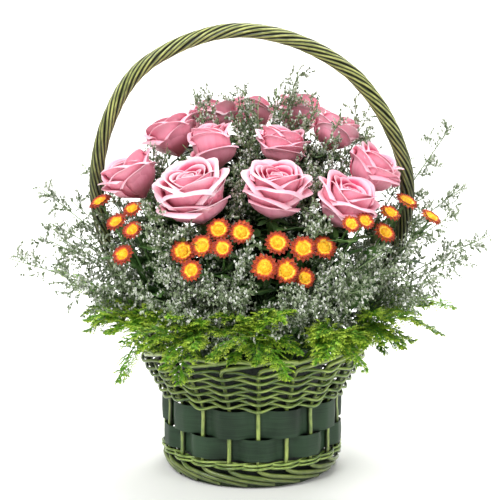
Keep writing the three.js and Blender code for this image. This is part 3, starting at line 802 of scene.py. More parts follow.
@dataclass(frozen=True)
class RosePetal:
    """Soft pink petals: deep pink as painted shade inside the cup and low on the outside, deeper towards
    the heart, paler at the lip with pale rims that are partly a painted highlight, and a dusty salmon
    foot outside that is partly their own colour and partly painted shade.
    """

    name: str = "rose_petal"
    light: str = "f8aabf"
    deep: str = "dd5078"
    pale: str = "f8d2dc"
    dusty: str = "c25f70"

    def make(self) -> Material:
        """Builds the finish.

        Returns:
            The material.
        """
        r = Recipe(self.name)
        along, outside = r.attribute("along"), r.attribute("outside")
        vein = r.stretched(r.attribute("across") * 7.0, along * 1.3, r.attribute("tint") * 50.0, 3.0)
        # Painted shade: deep pink inside the cup, low down on each petal.
        inner = (1.0 - along.step(0.4, 0.95)) * (1.0 - outside) * 0.95
        # Deeper pink at the inner layers: partly the rose's own deeper heart, partly painted shade.
        heart = (1.0 - r.attribute("layer").step(0.0, 0.7)) * 0.35
        # Painted shade on the outside of the petals low down, under the head.
        flank = (1.0 - along.step(0.3, 0.85)) * outside * 0.34
        cloud = (r.noise(60.0, 2.0) - 0.5) * 0.4
        depth = inner + heart + flank + (vein - 0.5) * 0.5 + cloud
        color = r.mix(depth.step(0.0, 1.0), self.light, self.deep)
        # A dusty salmon foot outside: partly the petals' own colour there, partly painted shade under
        # the head.
        foot = (1.0 - along.step(0.12, 0.6)) * outside
        color = r.mix(foot * 0.85, color, self.dusty)
        # Paler lips by the rose's pallor, and pale rims that are partly the petals' own pale edge,
        # partly a painted highlight.
        blush = r.attribute("blush") * 0.6 + 0.08
        color = r.mix(along.step(0.5, 1.0) * blush + r.attribute("edge") * 0.3, color, self.pale)
        return r.surface({
            "Base Color": color, "Roughness": vein * 0.15 + 0.42,
            "Subsurface Weight": 0.1, "Subsurface Radius": (0.9, 0.35, 0.4),
            "Subsurface Scale": 0.002, "Sheen Weight": 0.15, "Sheen Roughness": 0.4,
            "Normal": r.bump(vein, 0.0008, 0.3)})


@dataclass(frozen=True)
class Greenery:
    """Leaves and stems: a darker blade, a lighter rib and tip that are partly their own colour and
    partly painted light, and a change from leaf to leaf.
    """

    name: str
    light: str
    middle: str
    dark: str
    roughness: float
    tips: float

    def make(self) -> Material:
        """Builds the finish.

        Returns:
            The material.
        """
        r = Recipe(self.name)
        along, tint, mottle = r.attribute("along"), r.attribute("tint"), r.noise(160.0)
        color = r.mix((tint * 0.7 + mottle * 0.5).step(0.2, 0.9), self.dark, self.middle)
        # Lighter tips and ribs: partly the plant's own paler tips and ribs, partly painted light where
        # the tips catch the light.
        pale_tip_and_light = along.step(0.35, 1.0) * self.tips + r.attribute("rib") * 0.4
        return r.surface({
            "Base Color": r.mix(pale_tip_and_light, color, self.light),
            "Roughness": mottle * 0.2 + (self.roughness - 0.1),
            "Specular IOR Level": 0.4, "Normal": r.bump(mottle, 0.0005, 0.4)})


@dataclass(frozen=True)
class ButtonFlower:
    """Chrysanthemum heads: a yellow eye, pale yellow at the foot of the rays and fiery tips."""

    name: str = "button_flower"
    eye_dark: str = "e9a50a"
    eye_light: str = "ffd21c"
    ring: str = "ffe45c"
    gold: str = "fbc80e"
    flame: str = "d85a14"
    tip: str = "8f1c0c"

    def make(self) -> Material:
        """Builds the finish.

        Returns:
            The material.
        """
        r = Recipe(self.name)
        streak = r.noise(420.0, 2.0)
        place = r.attribute("along") + streak * 0.22 + r.attribute("tint") * 0.3 - 0.26
        rays = r.ramp(place, ((0.0, self.ring), (0.3, self.ring), (0.45, self.gold),
                              (0.6, self.flame), (0.86, self.tip)))
        rays = r.mix(r.attribute("edge") * 0.3, rays, self.flame)
        button = r.mix(streak.step(0.3, 0.6), self.eye_dark, self.eye_light)
        return r.surface({
            "Base Color": r.mix(r.attribute("eye"), rays, button),
            "Roughness": streak * 0.2 + 0.45, "Sheen Weight": 0.15,
            "Normal": r.bump(streak, 0.0006, 0.4)})


@dataclass(frozen=True)
class PaperyFloret:
    """Statice florets: papery, from grey green to near white with a little lilac."""

    name: str = "statice_floret"
    shades: tuple[tuple[float, str], ...] = (
        (0.0, "3f4e30"), (0.3, "6d7f58"), (0.56, "9ca78c"), (0.78, "cdd0c6"), (1.0, "f6f5f7"))
    foot: str = "4a5c36"

    def make(self) -> Material:
        """Builds the finish.

        Returns:
            The material.
        """
        r = Recipe(self.name)
        tint = r.attribute("tint")
        low = 1.0 - r.attribute("along").step(0.0, 0.6)
        color = r.mix(low * 0.5, r.ramp(tint, self.shades), self.foot)
        return r.surface({"Base Color": color, "Roughness": tint * 0.2 + 0.6})


# ---------------------------------------------------------------- leaves


@dataclass(frozen=True)
class LeafHabit:
    """The shape of a leaf, as shares of its length."""

    width: float
    fold: float
    droop: float
    rows: int
    lobes: int = 0
    lobe_depth: float = 0.0
    columns: int = 5
    bluntness: float = 0.8
    taper: float = 0.15
    stalk: float = 0.04
    unevenness: float = 0.06
    ripple: float = 0.03
    ripples: float = 9.0
    rib_width: float = 0.45
    thickness: float = 0.5
    stalk_radii: Pair = (0.9, 0.5)
    first_pair: float = 0.9
    pair_step: float = 0.42
    pair_length: float = 0.85
    pair_shrink: float = 0.1

    def grid(self, root: np.ndarray, way: np.ndarray, length: float,
             rng: Random) -> tuple[np.ndarray, np.ndarray]:
        """Points of one leaf.

        Args:
            root: where the leaf starts.
            way: the way it grows.
            length: its length.
            rng: source of its small irregularities.

        Returns:
            The grid of points, and how near each is to the midrib.
        """
        side = unit(np.cross(way, UP))
        face = np.cross(side, way)
        t, u = blade(self.rows, self.columns)
        outline = np.sin(math.pi * t ** self.bluntness) ** self.bluntness * (1 - self.taper * t)
        outline = outline + self.stalk
        outline = outline * (1 + self.lobe_depth * np.sin(t * math.pi * 2 * self.lobes))
        half = self.width * length * outline * (1 + self.unevenness * rng.normal())
        lift = self.fold * np.abs(u) * half - self.droop * length * t ** 2
        wave = self.ripple * length * np.sin(t * self.ripples + rng.random() * PHASE) * u
        grid = (root + t[..., None] * length * way + (u * half)[..., None] * side
                + (lift + wave)[..., None] * face)
        rib = np.broadcast_to(1 - smooth(np.abs(u), 0.0, self.rib_width), grid.shape[:2])
        return grid, rib

    def add_spray(self, draft: Draft, line: np.ndarray, length: float, pairs: int,
                  rng: Random) -> None:
        """Adds a leaf stalk with pairs of leaflets and one at its end.

        Args:
            draft: where it goes.
            line: the stalk's points.
            length: length of the end leaflet.
            pairs: how many pairs stand below it.
            rng: source of its irregularities.
        """
        draft.sweep(line, np.linspace(*self.stalk_radii, len(line)), 5, tint=rng.random(), rib=1.0)
        tangent = unit(line[-1] - line[-2])
        side = unit(np.cross(tangent, UP))
        leaflets = [self.grid(line[-1], tangent, length, rng)]
        for pair in range(pairs):
            at = line[int((self.first_pair - self.pair_step * pair) * (len(line) - 1))]
            share = self.pair_length - self.pair_shrink * pair
            for sign in (-1, 1):
                way = unit(tangent * 0.55 + sign * side + UP * 0.1 * rng.normal())
                leaflets.append(self.grid(at, way, length * share, rng))
        grids, ribs = zip(*leaflets)
        draft.sheets(np.stack(grids), self.thickness, tint=rng.random(len(grids)),
                     rib=np.stack(ribs), along=np.linspace(0, 0.5, self.rows)[:, None])


ROSE_LEAF = LeafHabit(width=0.33, fold=0.2, droop=0.16, rows=7)
MUM_LEAF = LeafHabit(width=0.3, fold=0.12, droop=0.2, rows=13, lobes=3, lobe_depth=0.35)


# ---------------------------------------------------------------- the basket

HANDLE_LINE = (
    (-78.4, 92), (-95.4, 121), (-131, 190), (-149, 264), (-140.6, 324), (-112, 377), (-66, 407),
    (-12, 419.5), (46, 408), (97, 377), (134.6, 324), (149.5, 264), (131, 190), (95.4, 121),
    (78.4, 92),
)


def wall_radius(z: Any) -> Any:
    """Returns the radius of the circle of stakes at a height."""
    return WALL_RADIUS + FLARE_SLOPE * np.maximum(0, z - FLARE_START)


def outward_of(lines: np.ndarray) -> np.ndarray:
    """Returns the way out of the wall, and a little up, at points round the basket's axis."""
    # The tilt up puts the willow finish's painted shade on the underside of each rod and leaves its top
    # lit.
    return unit(unit(lines * LEVEL) + UP * 0.4)


@dataclass(frozen=True)
class Border:
    """A thick edge that every stake is laid into, past the stakes beside it.

    The heights where the laying starts and ends, the degrees that it sweeps, how far it
    bulges out of the wall, and how far its end is drawn in again.
    """

    start: float
    end: float
    sweep: float
    bulge: float
    taper: float = 0.0

    def lay(self, number: int, t: np.ndarray, drop: Any = 0.0) -> np.ndarray:
        """Points of a stake where it is laid over.

        Args:
            number: which stake it is.
            t: shares of the way through the border.
            drop: how far below its line the rod lies.

        Returns:
            The points.
        """
        z = self.start + (self.end - self.start) * t - drop
        angle = FIRST_STAKE + number * STAKE_STEP + self.sweep * t
        return polar(wall_radius(z) + self.bulge - self.taper * t ** 2, angle, z)


@dataclass
class Basket:
    """The woven basket: stakes with their borders, wale, strips, weaving and handle."""

    rod_sides: int = 8
    foot: Border = Border(16.0, 3.2, 47.0, 1.5, 6.0)
    foot_shares: tuple[float, ...] = (1, 0.78, 0.55, 0.3, 0.12)
    wall_heights: tuple[float, ...] = (30.0, 50.0, FLARE_START, 90.0)
    rim: Border = Border(115.0, 128.0, 35.0, 1.2)
    rim_shares: tuple[float, ...] = (0.16, 0.44, 0.72, 1)
    rim_tuck: float = 4.0
    rim_sag: float = 1.75
    stake_points: int = 64
    strips: tuple[tuple[str, float, float, int], ...] = (
        ("strip_lower", 27.4, 47.5, 0), ("strip_upper", 48.0, 73.4, 1))
    strip_thickness: float = 1.2
    strip_gap: float = 0.35
    strip_rows: int = 9
    strip_crown: float = 0.5
    strip_squareness: float = 1.6
    strip_run: float = 1.46
    flare_first: float = 76.4
    flare_last: float = 113.4
    flare_rows: int = 11
    flare_rod: float = 1.55
    flare_rise: float = 0.6
    flare_dip: float = 1.9
    flare_wander: float = 0.35
    flare_jitter: float = 0.015
    wale_heights: tuple[float, ...] = (20.3, 23.7)
    wale_rod: float = 1.35
    wale_lift: float = 0.55
    handle_rods: int = 11
    handle_rod: float = 1.62
    handle_ring: float = 5.55
    handle_core: float = 4.35
    handle_pitch: float = 140.0
    handle_wander: float = 0.08
    handle_swell: float = 0.18
    handle_points: int = 200
    handle_room: float = 8.2
    finishes: dict[str, Material] = field(default_factory=dict)

    def prepare(self) -> None:
        """Makes the finishes that the pieces share."""
        self.finishes = {
            "rod": DyedWillow("dyed_willow", "a6bd5e", "4a702b", dark="0f1e0c", streak=0.4,
                              crown=(0.15, 0.95)).make(),
            "stake": DyedWillow("dyed_willow_stake", "a8ba5e", "6a8838", streak=0.3,
                                low_darkening=0.5, low_darkening_band=(0.014, 0.024)).make(),
            "handle": DyedWillow("dyed_willow_handle", "c0c672", "68742f", dark="12160a",
                                 streak=0.12, crown=(0.54, 1.02), low_darkening=0.66,
                                 low_darkening_band=(0.24, 0.37)).make(),
            "strip": ChipRibbon().make(),
            "board": Speckled("dyed_board", "4a5a3e", "2f3b28", 900.0, 0.8, 0.0006).make(),
            "film": Speckled("liner_film", "2a362e", "161f19", 500.0, 0.42, 0.0002).make(),
            "foam": Speckled("floral_foam", "4e6c49", "2c4229", 1400.0, 0.95, 0.0015).make(),
        }

    def stake_line(self, number: int) -> np.ndarray:
        """The whole line of a stake, from the foot border to the rim.

        Args:
            number: which stake it is.

        Returns:
            Its points.
        """
        heights = np.array([self.foot.start + STAKE_RADIUS, *self.wall_heights, self.rim.start])
        wall = polar(wall_radius(heights), FIRST_STAKE + number * STAKE_STEP, heights)
        drop = np.array([-self.rim_sag] * 3 + [self.rim_tuck])
        return curve(np.vstack([self.foot.lay(number, np.array(self.foot_shares)), wall,
                                self.rim.lay(number, np.array(self.rim_shares), drop)]),
                     self.stake_points)

    def weaver(self, z: Any, reach: float, parity: int, points: int = 12,
               squareness: float = 1.0) -> tuple[np.ndarray, np.ndarray]:
        """The way of a weaver once round the basket.

        Args:
            z: its height.
            reach: how far out and in it goes.
            parity: 0 or 1, for the stakes that it passes outside.
            points: points from one stake to the next.
            squareness: above 1, it lies flatter on the stakes and crosses more steeply.

        Returns:
            The angles and the distances from the axis.
        """
        step = np.arange(STAKES * points) / points
        swing = np.clip(squareness * np.cos(math.pi * (step + parity)), -1, 1)
        return FIRST_STAKE + step * STAKE_STEP, wall_radius(z) + swing * reach

    def build_stakes(self) -> None:
        """Makes the stakes with the borders that they are laid into."""
        draft = Draft()
        lines = np.stack([self.stake_line(i) for i in range(STAKES)])
        rng = np.random.default_rng(5)
        draft.sweep(lines, STAKE_RADIUS, self.rod_sides, outward=outward_of(lines),
                    tint=rng.random(STAKES))
        draft.piece("basket_stakes", self.finishes["stake"], "rod_green", ("stake_frame",))

    def build_wale(self) -> None:
        """Makes the pairs of thin rods that are twined above the foot."""
        draft = Draft()
        rng = np.random.default_rng(6)
        for z in self.wale_heights:
            for strand in (0, 1):
                angle, radius = self.weaver(z, STAKE_RADIUS + self.wale_rod, strand, 16)
                phase = math.pi * ((angle - FIRST_STAKE) / STAKE_STEP + strand)
                line = polar(radius, angle, z + self.wale_lift * np.sin(phase))
                draft.sweep(line, self.wale_rod, self.rod_sides, True, outward_of(line),
                            tint=rng.random())
        draft.piece("basket_foot_wale", self.finishes["rod"], "rod_green", ("foot_wale",))

    def build_strips(self) -> None:
        """Makes the two broad strips that are woven round the straight wall."""
        reach = STAKE_RADIUS + self.strip_gap + self.strip_thickness / 2
        across = np.linspace(0, 1, self.strip_rows)[:, None]
        for node, low, high, parity in self.strips:
            draft = Draft()
            angle, radius = self.weaver(FLARE_START, reach, parity, 12, self.strip_squareness)
            angle, radius = np.append(angle, angle[0] + 360), np.append(radius, radius[0])
            crown = self.strip_crown * np.sin(math.pi * across)
            grid = polar(radius + crown, angle, low + (high - low) * across)
            draft.sheets(grid, self.strip_thickness, around=across,
                         run=(angle * self.strip_run)[None], tint=0.3 + 0.4 * parity)
            draft.piece(f"basket_{node}", self.finishes["strip"], "strip_green", (node,))

    def build_flare(self) -> None:
        """Makes the close rows of thin rods woven through the flare."""
        draft = Draft()
        rng = np.random.default_rng(7)
        reach = STAKE_RADIUS + self.flare_rod
        for row, z in enumerate(np.linspace(self.flare_first, self.flare_last, self.flare_rows)):
            angle, radius = self.weaver(z, reach, row % 2)
            swing = (radius - wall_radius(z)) / reach
            dip = -self.flare_dip * swing ** 2
            dip += self.flare_wander * np.sin(np.radians(angle) * 3 + row)
            line = polar(radius, angle, z + self.flare_rise + dip - FLARE_SLOPE * swing * 2)
            line[:, 2] += self.flare_jitter * rng.normal(size=len(line)).cumsum()
            line[:, 2] -= np.linspace(0, line[-1, 2] - line[0, 2], len(line))
            draft.sweep(line, self.flare_rod * (0.95 + 0.1 * rng.random()), self.rod_sides, True,
                        outward_of(line), tint=rng.random())
        draft.piece("basket_flare_weave", self.finishes["rod"], "rod_green", ("flare_weave",))

    def handle_path(self, count: int) -> np.ndarray:
        """Returns the handle's centre line."""
        return curve(np.array([(x, 0.0, z) for x, z in HANDLE_LINE]), count)

    def build_handle(self) -> None:
        """Makes the handle, a bundle of thin rods twisted round a core."""
        path = self.handle_path(self.handle_points)
        length = np.linalg.norm(np.diff(path, axis=0), axis=1).sum()
        depth = vec(0, 1, 0)
        out = np.cross(unit(np.gradient(path, axis=0)), depth)
        turn = np.linspace(0, length / self.handle_pitch * 2 * math.pi, len(path))
        rng = np.random.default_rng(8)
        draft = Draft()
        for k in range(self.handle_rods):
            angle = turn + k * 2 * math.pi / self.handle_rods
            angle = angle + self.handle_wander * np.sin(turn * 1.7 + PHASE * rng.random())
            ring = self.handle_ring + self.handle_swell * np.sin(turn * 0.9 + PHASE * rng.random())
            line = path + ring[:, None] * (np.cos(angle)[:, None] * out
                                           + np.sin(angle)[:, None] * depth)
            # The crown faces out of the bundle, so the willow finish paints shade on the sides of the
            # rods that face the core.
            draft.sweep(line, self.handle_rod, self.rod_sides, outward=unit(line - path),
                        tint=rng.random())
        # The core carries no crown value, so the willow finish paints it all in shade, as the dark
        # between the twisted rods.
        draft.sweep(path, self.handle_core, 8, tint=0.5)
        draft.piece("basket_handle", self.finishes["handle"], "handle_green", ("handle",))

    def occupy(self, space: Obstacles) -> None:
        """Marks the room that the handle takes above the rim."""
        space.add(self.handle_path(120)[12:-12], self.handle_room)

    def build(self, nodes: dict[str, bpy.types.Object]) -> None:
        """Makes every piece of the basket, and gives the solids that stay their finishes.

        Args:
            nodes: the solids of the frame, by name.
        """
        self.prepare()
        self.build_stakes()
        self.build_wale()
        self.build_strips()
        self.build_flare()
        self.build_handle()
        for node, key in (("base_board", "board"), ("liner", "film"), ("foam", "foam")):
            mesh = nodes[node].data
            mesh.materials.clear()
            mesh.materials.append(self.finishes[key])
            LOG.info("%s keeps its solid", node)


# ---------------------------------------------------------------- roses


@dataclass(frozen=True)
class PetalRing:
    """One layer of a rose's petals: reaches and lips in head radii, tops in head heights."""

    count: int
    reach: float
    top: float
    width: float
    close: float = 0.0
    curl: float = 60.0
    lip: float = 0.12
    point: float = 0.0
    drop: float = 0.12
    lean: float = 0.0


HEART_RINGS = (
    PetalRing(2, 0.24, 0.87, 110, close=10, curl=15, lip=0.05, drop=0.08),
    PetalRing(3, 0.35, 0.90, 96, close=12, curl=35, lip=0.08, point=0.03, drop=0.12),
    PetalRing(3, 0.47, 0.95, 92, close=12, curl=55, lip=0.12, point=0.04, drop=0.16),
    PetalRing(3, 0.60, 1.0, 84, close=9, curl=65, lip=0.18, point=0.06, drop=0.2),
)
OPEN_RINGS = (
    PetalRing(4, 0.73, 0.97, 66, close=4, curl=80, lip=0.24, point=0.10, drop=0.22),
    PetalRing(4, 0.82, 0.84, 60, close=0, curl=95, lip=0.30, point=0.16, drop=0.24, lean=0.04),
    PetalRing(3, 0.79, 0.66, 66, close=0, curl=105, lip=0.30, point=0.14, drop=0.28, lean=0.07),
)
BUD_RINGS = (
    PetalRing(3, 0.70, 0.97, 84, close=14, curl=45, lip=0.12, point=0.08, drop=0.2),
    PetalRing(3, 0.78, 0.88, 78, close=8, curl=70, lip=0.20, point=0.12, drop=0.26),
    PetalRing(2, 0.80, 0.52, 70, close=0, curl=115, lip=0.30, point=0.08, drop=0.24, lean=0.08),
)


@dataclass
class Rose:
    """One rose: its bloom of petals, and its stem with hip, sepals and leaves."""

    number: int
    head: Place
    radius: float
    tall: float
    bud: bool = False
    guards: tuple[tuple[float, PetalRing], ...] = ()
    pallor: float = 0.3
    sink: float = 3.0
    turn: float = 0.0
    wall_rows: int = 7
    lip_rows: int = 5
    columns: int = 11
    thickness: float = 0.45
    belly: float = 46.0
    foot_reach: float = 0.05
    foot_height: float = 0.03
    unevenness: float = 0.035
    curl_change: float = 0.2
    lip_taper: float = 0.45
    point_width: float = 0.3
    ripple: float = 0.026
    ripples: float = 5.0
    overlap: float = 0.06
    flare: float = 0.05
    narrowing: float = 0.2
    spiral: float = 137.5
    spiral_change: float = 5.0
    scroll_points: int = 56
    scroll_turns: float = 2.2
    scroll_top: float = 0.86
    stem_radius: float = 2.4
    stem_points: int = 14
    rise: float = 50.0
    approach: float = 60.0
    neck: float = 13.0
    hip: tuple[float, ...] = (0.11, 0.17, 0.13)
    hip_shares: Pair = (0.35, 0.7)
    hip_gap: float = 1.2
    sepals: int = 5
    sepal_thickness: float = 0.7
    leaves: int = 26
    leaf_zone: Pair = (0.24, 0.97)
    leaf_length: Pair = (24.0, 40.0)
    leaf_fan: float = 150.0
    leaf_tries: int = 8
    leaf_clearance: float = 2.0

    @property
    def rows(self) -> int:
        """Rows of points in a petal."""
        return self.wall_rows + self.lip_rows

    @property
    def height(self) -> float:
        """Length of the head along its axis."""
        return self.radius * self.tall

    @property
    def axis(self) -> np.ndarray:
        """The way the bloom faces."""
        return Bearing.BLOOM.at(self.head[0], self.head[1])

    @property
    def base(self) -> np.ndarray:
        """The foot of the bloom."""
        return vec(*self.head) - self.axis * (self.height / 2 + self.sink)

    def placed(self, local: np.ndarray) -> np.ndarray:
        """Moves points of the upright head to where the head is.

        Args:
            local: points about the foot of a head that looks up.

        Returns:
            The points, tilted and moved.
        """
        pivot = np.cross(UP, self.axis)
        sine, cosine = np.linalg.norm(pivot), self.axis[2]
        pivot = pivot / max(sine, 1e-9)
        return (local * cosine + np.cross(pivot, local) * sine
                + pivot * (local @ pivot)[..., None] * (1 - cosine)) + self.base

    def petal(self, ring: PetalRing, middle: float, rng: Random) -> np.ndarray:
        """Points of one petal on the upright head.

        The wall rises from the foot, bellies out and leans in. The lip then curls outwards.

        Args:
            ring: the layer that it belongs to.
            middle: the angle of its middle.
            rng: source of its irregularities.

        Returns:
            A grid of points.
        """
        t, u = blade(self.wall_rows, self.columns)
        flank = np.abs(u)
        close = math.radians(ring.close)
        slope = math.radians(self.belly) * (1 - smooth(t, 0.5, 1.15)) - close * smooth(t, 0.5, 1.0)
        wall_r = np.cumsum(np.sin(slope), 0) - np.sin(slope[:1])
        wall_z = np.cumsum(np.cos(slope), 0) - np.cos(slope[:1])
        span = ring.reach * (1 + self.unevenness * rng.normal()) - self.foot_reach
        wall_r = self.foot_reach + span * wall_r / wall_r.max()
        s = np.arange(1, self.lip_rows + 1)[:, None] / self.lip_rows
        length = ring.lip * (1 - self.lip_taper * flank ** 3)
        length = length + ring.point * np.exp(-(u / self.point_width) ** 2)
        curl = math.radians(ring.curl * (1 + self.curl_change * rng.normal()))
        curl = curl * (0.8 + 0.35 * flank)
        turn = (curl + close) * s ** 0.8 - close
        lip_r = np.cumsum(np.sin(turn) * length / self.lip_rows, 0)
        lip_z = np.cumsum(np.cos(turn) * length / self.lip_rows, 0)
        crown = ring.top * self.tall * (1 + self.unevenness * rng.normal())
        crown = (crown - lip_z.max(0, keepdims=True)) * (1 + 0.05 * rng.normal() * u)
        wall_z = wall_z / wall_z[-1] * crown * (1 - ring.drop * flank ** 2.2)
        wall_r = np.broadcast_to(wall_r, wall_z.shape)
        radial = np.vstack([wall_r, wall_r[-1:] + lip_r])
        height = np.vstack([wall_z, wall_z[-1:] + lip_z])
        v = np.linspace(0, 1, self.rows)[:, None]
        wave = self.ripple * np.sin(u * self.ripples + rng.random() * PHASE) * smooth(v, 0.5, 1.0)
        radial = radial * (1 + self.overlap * u) + ring.lean * height + wave
        radial = radial + self.flare * smooth(flank, 0.6, 1.0) * smooth(v, 0.3, 0.8) * ring.reach
        angle = middle + u * ring.width * (1 - self.narrowing * smooth(v, 0.75, 1.0))
        return polar(radial * self.radius, angle, (height + self.foot_height) * self.radius)

    def scroll(self) -> np.ndarray:
        """The rolled petals at the very heart, as one spiral sheet.

        Returns:
            A grid of points.
        """
        v, t = blade(self.rows, self.scroll_points)
        t = (t + 1) / 2
        radial = (0.02 + 0.2 * t) * (0.45 + 0.55 * np.sin(np.clip(v / 0.6, 0, 1) * math.pi / 2))
        radial = radial + 0.03 * smooth(v, 0.85, 1.0)
        top = self.scroll_top + 0.03 * t - 0.015 * np.sin(t * 2 * math.pi * 4) ** 2
        angle = t * self.scroll_turns * 360
        return polar(radial * self.radius, angle, v * top * self.height + 1.0)

    def values(self, layer: float, tint: float, columns: int) -> dict[str, Any]:
        """What the petal finish reads, over one petal's grid.

        Args:
            layer: 0 at the heart and 1 at the outermost petals.
            tint: a draw that makes the petal differ from the others.
            columns: columns of the grid.

        Returns:
            The values by name.
        """
        v, u = blade(self.rows, columns)
        edge = np.maximum(smooth(v, 0.9, 1.0), smooth(np.abs(u), 0.9, 1.0) * smooth(v, 0.5, 0.8))
        return {"along": v, "across": u, "edge": edge, "layer": layer, "tint": tint,
                "blush": self.pallor * (0.6 + 0.8 * tint)}

    def build_bloom(self, finish: Material) -> None:
        """Makes the head, layer by layer from the heart out.

        Args:
            finish: the petals' finish.
        """
        rng = np.random.default_rng(200 + self.number)
        draft = Draft()
        draft.sheets(self.placed(self.scroll()), self.thickness,
                     **self.values(0.0, rng.random(), self.scroll_points))
        rings = HEART_RINGS + (BUD_RINGS if self.bud else OPEN_RINGS)
        plan = []
        start = 360 * rng.random() + self.turn
        for level, ring in enumerate(rings, 1):
            start += self.spiral
            layer = level / len(rings)
            plan += [(start + k * 360 / ring.count + self.spiral_change * rng.normal(), ring, layer)
                     for k in range(ring.count)]
        plan += [(middle, ring, 1.0) for middle, ring in self.guards]
        for middle, ring, layer in plan:
            grid = self.placed(self.petal(ring, middle, rng))
            draft.sheets(grid, self.thickness, **self.values(layer, rng.random(), self.columns))
        name = f"rose_{self.number:02d}"
        draft.piece(f"{name}_petals", finish, "rose_pink", (f"{name}_bloom",))

    def stem_line(self) -> np.ndarray:
        """The stem's line, from its root in the foam over the hip to the bloom.

        Returns:
            Its points, the last three of which are the hip.
        """
        x, y = self.head[0] * STEM_GATHER, self.head[1] * STEM_GATHER
        root, mouth, lean = Bearing.ROSE_FOOT.planted(x, y)
        t = np.linspace(0, 1, self.stem_points)[:, None]
        a, b = mouth + lean * self.rise, self.base - self.axis * self.approach
        c, tip = self.base - self.axis * self.neck, self.base - self.axis * self.hip_gap
        bend = ((1 - t) ** 3 * mouth + 3 * (1 - t) ** 2 * t * a
                + 3 * (1 - t) * t ** 2 * b + t ** 3 * c)
        return np.vstack([root, bend, *(c + (tip - c) * share for share in self.hip_shares), tip])

    def build_stem(self, finish: Material, space: Obstacles) -> None:
        """Makes the stem with its hip, sepals and leaves.

        Args:
            finish: the finish of stem and leaves.
            space: what the leaves must be clear of.
        """
        rng = np.random.default_rng(300 + self.number)
        draft = Draft()
        line = self.stem_line()
        radii = np.full(len(line), self.stem_radius)
        radii[-3:] = self.radius * vec(*self.hip)
        draft.sweep(line, radii, 10, tint=0.5)
        v, u = blade(7, 3)
        for k in range(self.sepals):
            reach = 0.12 + (0.42 + 0.12 * rng.random()) * v
            height = -1.0 - (0.1 + 0.3 * rng.random()) * v ** 2 * self.radius
            angle = k * 360 / self.sepals + 20 + u * 24 * (1 - v) ** 0.6
            sepal = self.placed(polar(reach * self.radius, angle, height + 0.8 * np.abs(u)))
            draft.sheets(sepal, self.sepal_thickness, tint=rng.random(), rib=0.2)
        heading = math.degrees(math.atan2(self.head[0], -self.head[1]))
        for share in np.linspace(*self.leaf_zone, self.leaves):
            at = line[int(share * len(line))]
            for _ in range(self.leaf_tries):
                turn = heading + rng.uniform(-self.leaf_fan, self.leaf_fan)
                way = unit(polar(1.0, turn, rng.uniform(-0.1, 0.8)))
                length = rng.uniform(*self.leaf_length)
                reach = at + way * length * np.linspace(0.4, 1.5, 5)[:, None]
                if space.clear(reach, self.leaf_clearance):
                    stalk = curve([at, at + way * length * 0.3, at + way * length * 0.5], 7)
                    ROSE_LEAF.add_spray(draft, stalk, length, 2, rng)
                    break
        name = f"rose_{self.number:02d}"
        draft.piece(f"{name}_stalk", finish, "stem_green", (f"{name}_stem",))

    def occupy(self, space: Obstacles) -> None:
        """Marks the room that the head takes."""
        space.add(vec(*self.head), self.radius * 1.02)
        space.add(self.base, self.radius * 0.6)


FLARED = PetalRing(1, 0.84, 0.72, 52, curl=70, lip=0.28, point=0.14, drop=0.24, lean=0.08)
WIDE = PetalRing(1, 0.84, 0.86, 54, curl=64, lip=0.26, point=0.16, drop=0.3, lean=0.06)
BOWL = PetalRing(1, 0.84, 0.52, 64, curl=112, lip=0.32, point=0.08, drop=0.2, lean=0.08)
SIDE = PetalRing(1, 0.82, 0.80, 50, curl=70, lip=0.22, point=0.12, drop=0.26, lean=0.04)

ROSES = (
    Rose(1, (-112, -32, 283), 26, 1.6, turn=75, pallor=0.6),
    Rose(2, (-79, 14, 323), 25, 1.55, sink=6, pallor=0.5),
    Rose(3, (-38, -14, 312), 22.5, 1.95, bud=True, guards=((15, BOWL),)),
    Rose(4, (-52, -72, 270), 31, 1.75, guards=((-84, WIDE), (-52, BOWL), (20, BOWL), (82, WIDE)),
         pallor=1.3, sink=4, turn=30),
    Rose(5, (21, -74, 273), 27.6, 1.8, guards=((-76, SIDE), (-8, BOWL), (84, SIDE)), pallor=0.6, sink=4),
    Rose(6, (28, -12, 312), 23, 1.6, guards=((10, BOWL),)),
    Rose(7, (86, -71, 265), 26.5, 1.65, guards=((0, BOWL),), sink=8, pallor=0.4),
    Rose(8, (114, -27, 291), 25, 1.6, guards=((70, FLARED),), sink=6, turn=40),
    Rose(9, (-40, 44, 337), 21.5, 1.55, pallor=0.9),
    Rose(10, (-2, 76, 338), 24, 1.55, pallor=0.9),
    Rose(11, (46, 52, 341), 23, 1.55, pallor=0.9),
    Rose(12, (80, 21, 324), 22.5, 1.55, pallor=0.7),
)


# ---------------------------------------------------------------- chrysanthemums


@dataclass(frozen=True)
class RayRow:
    """A row of ray florets on a head of radius one."""

    count: int
    reach: float
    rise: float
    width: float


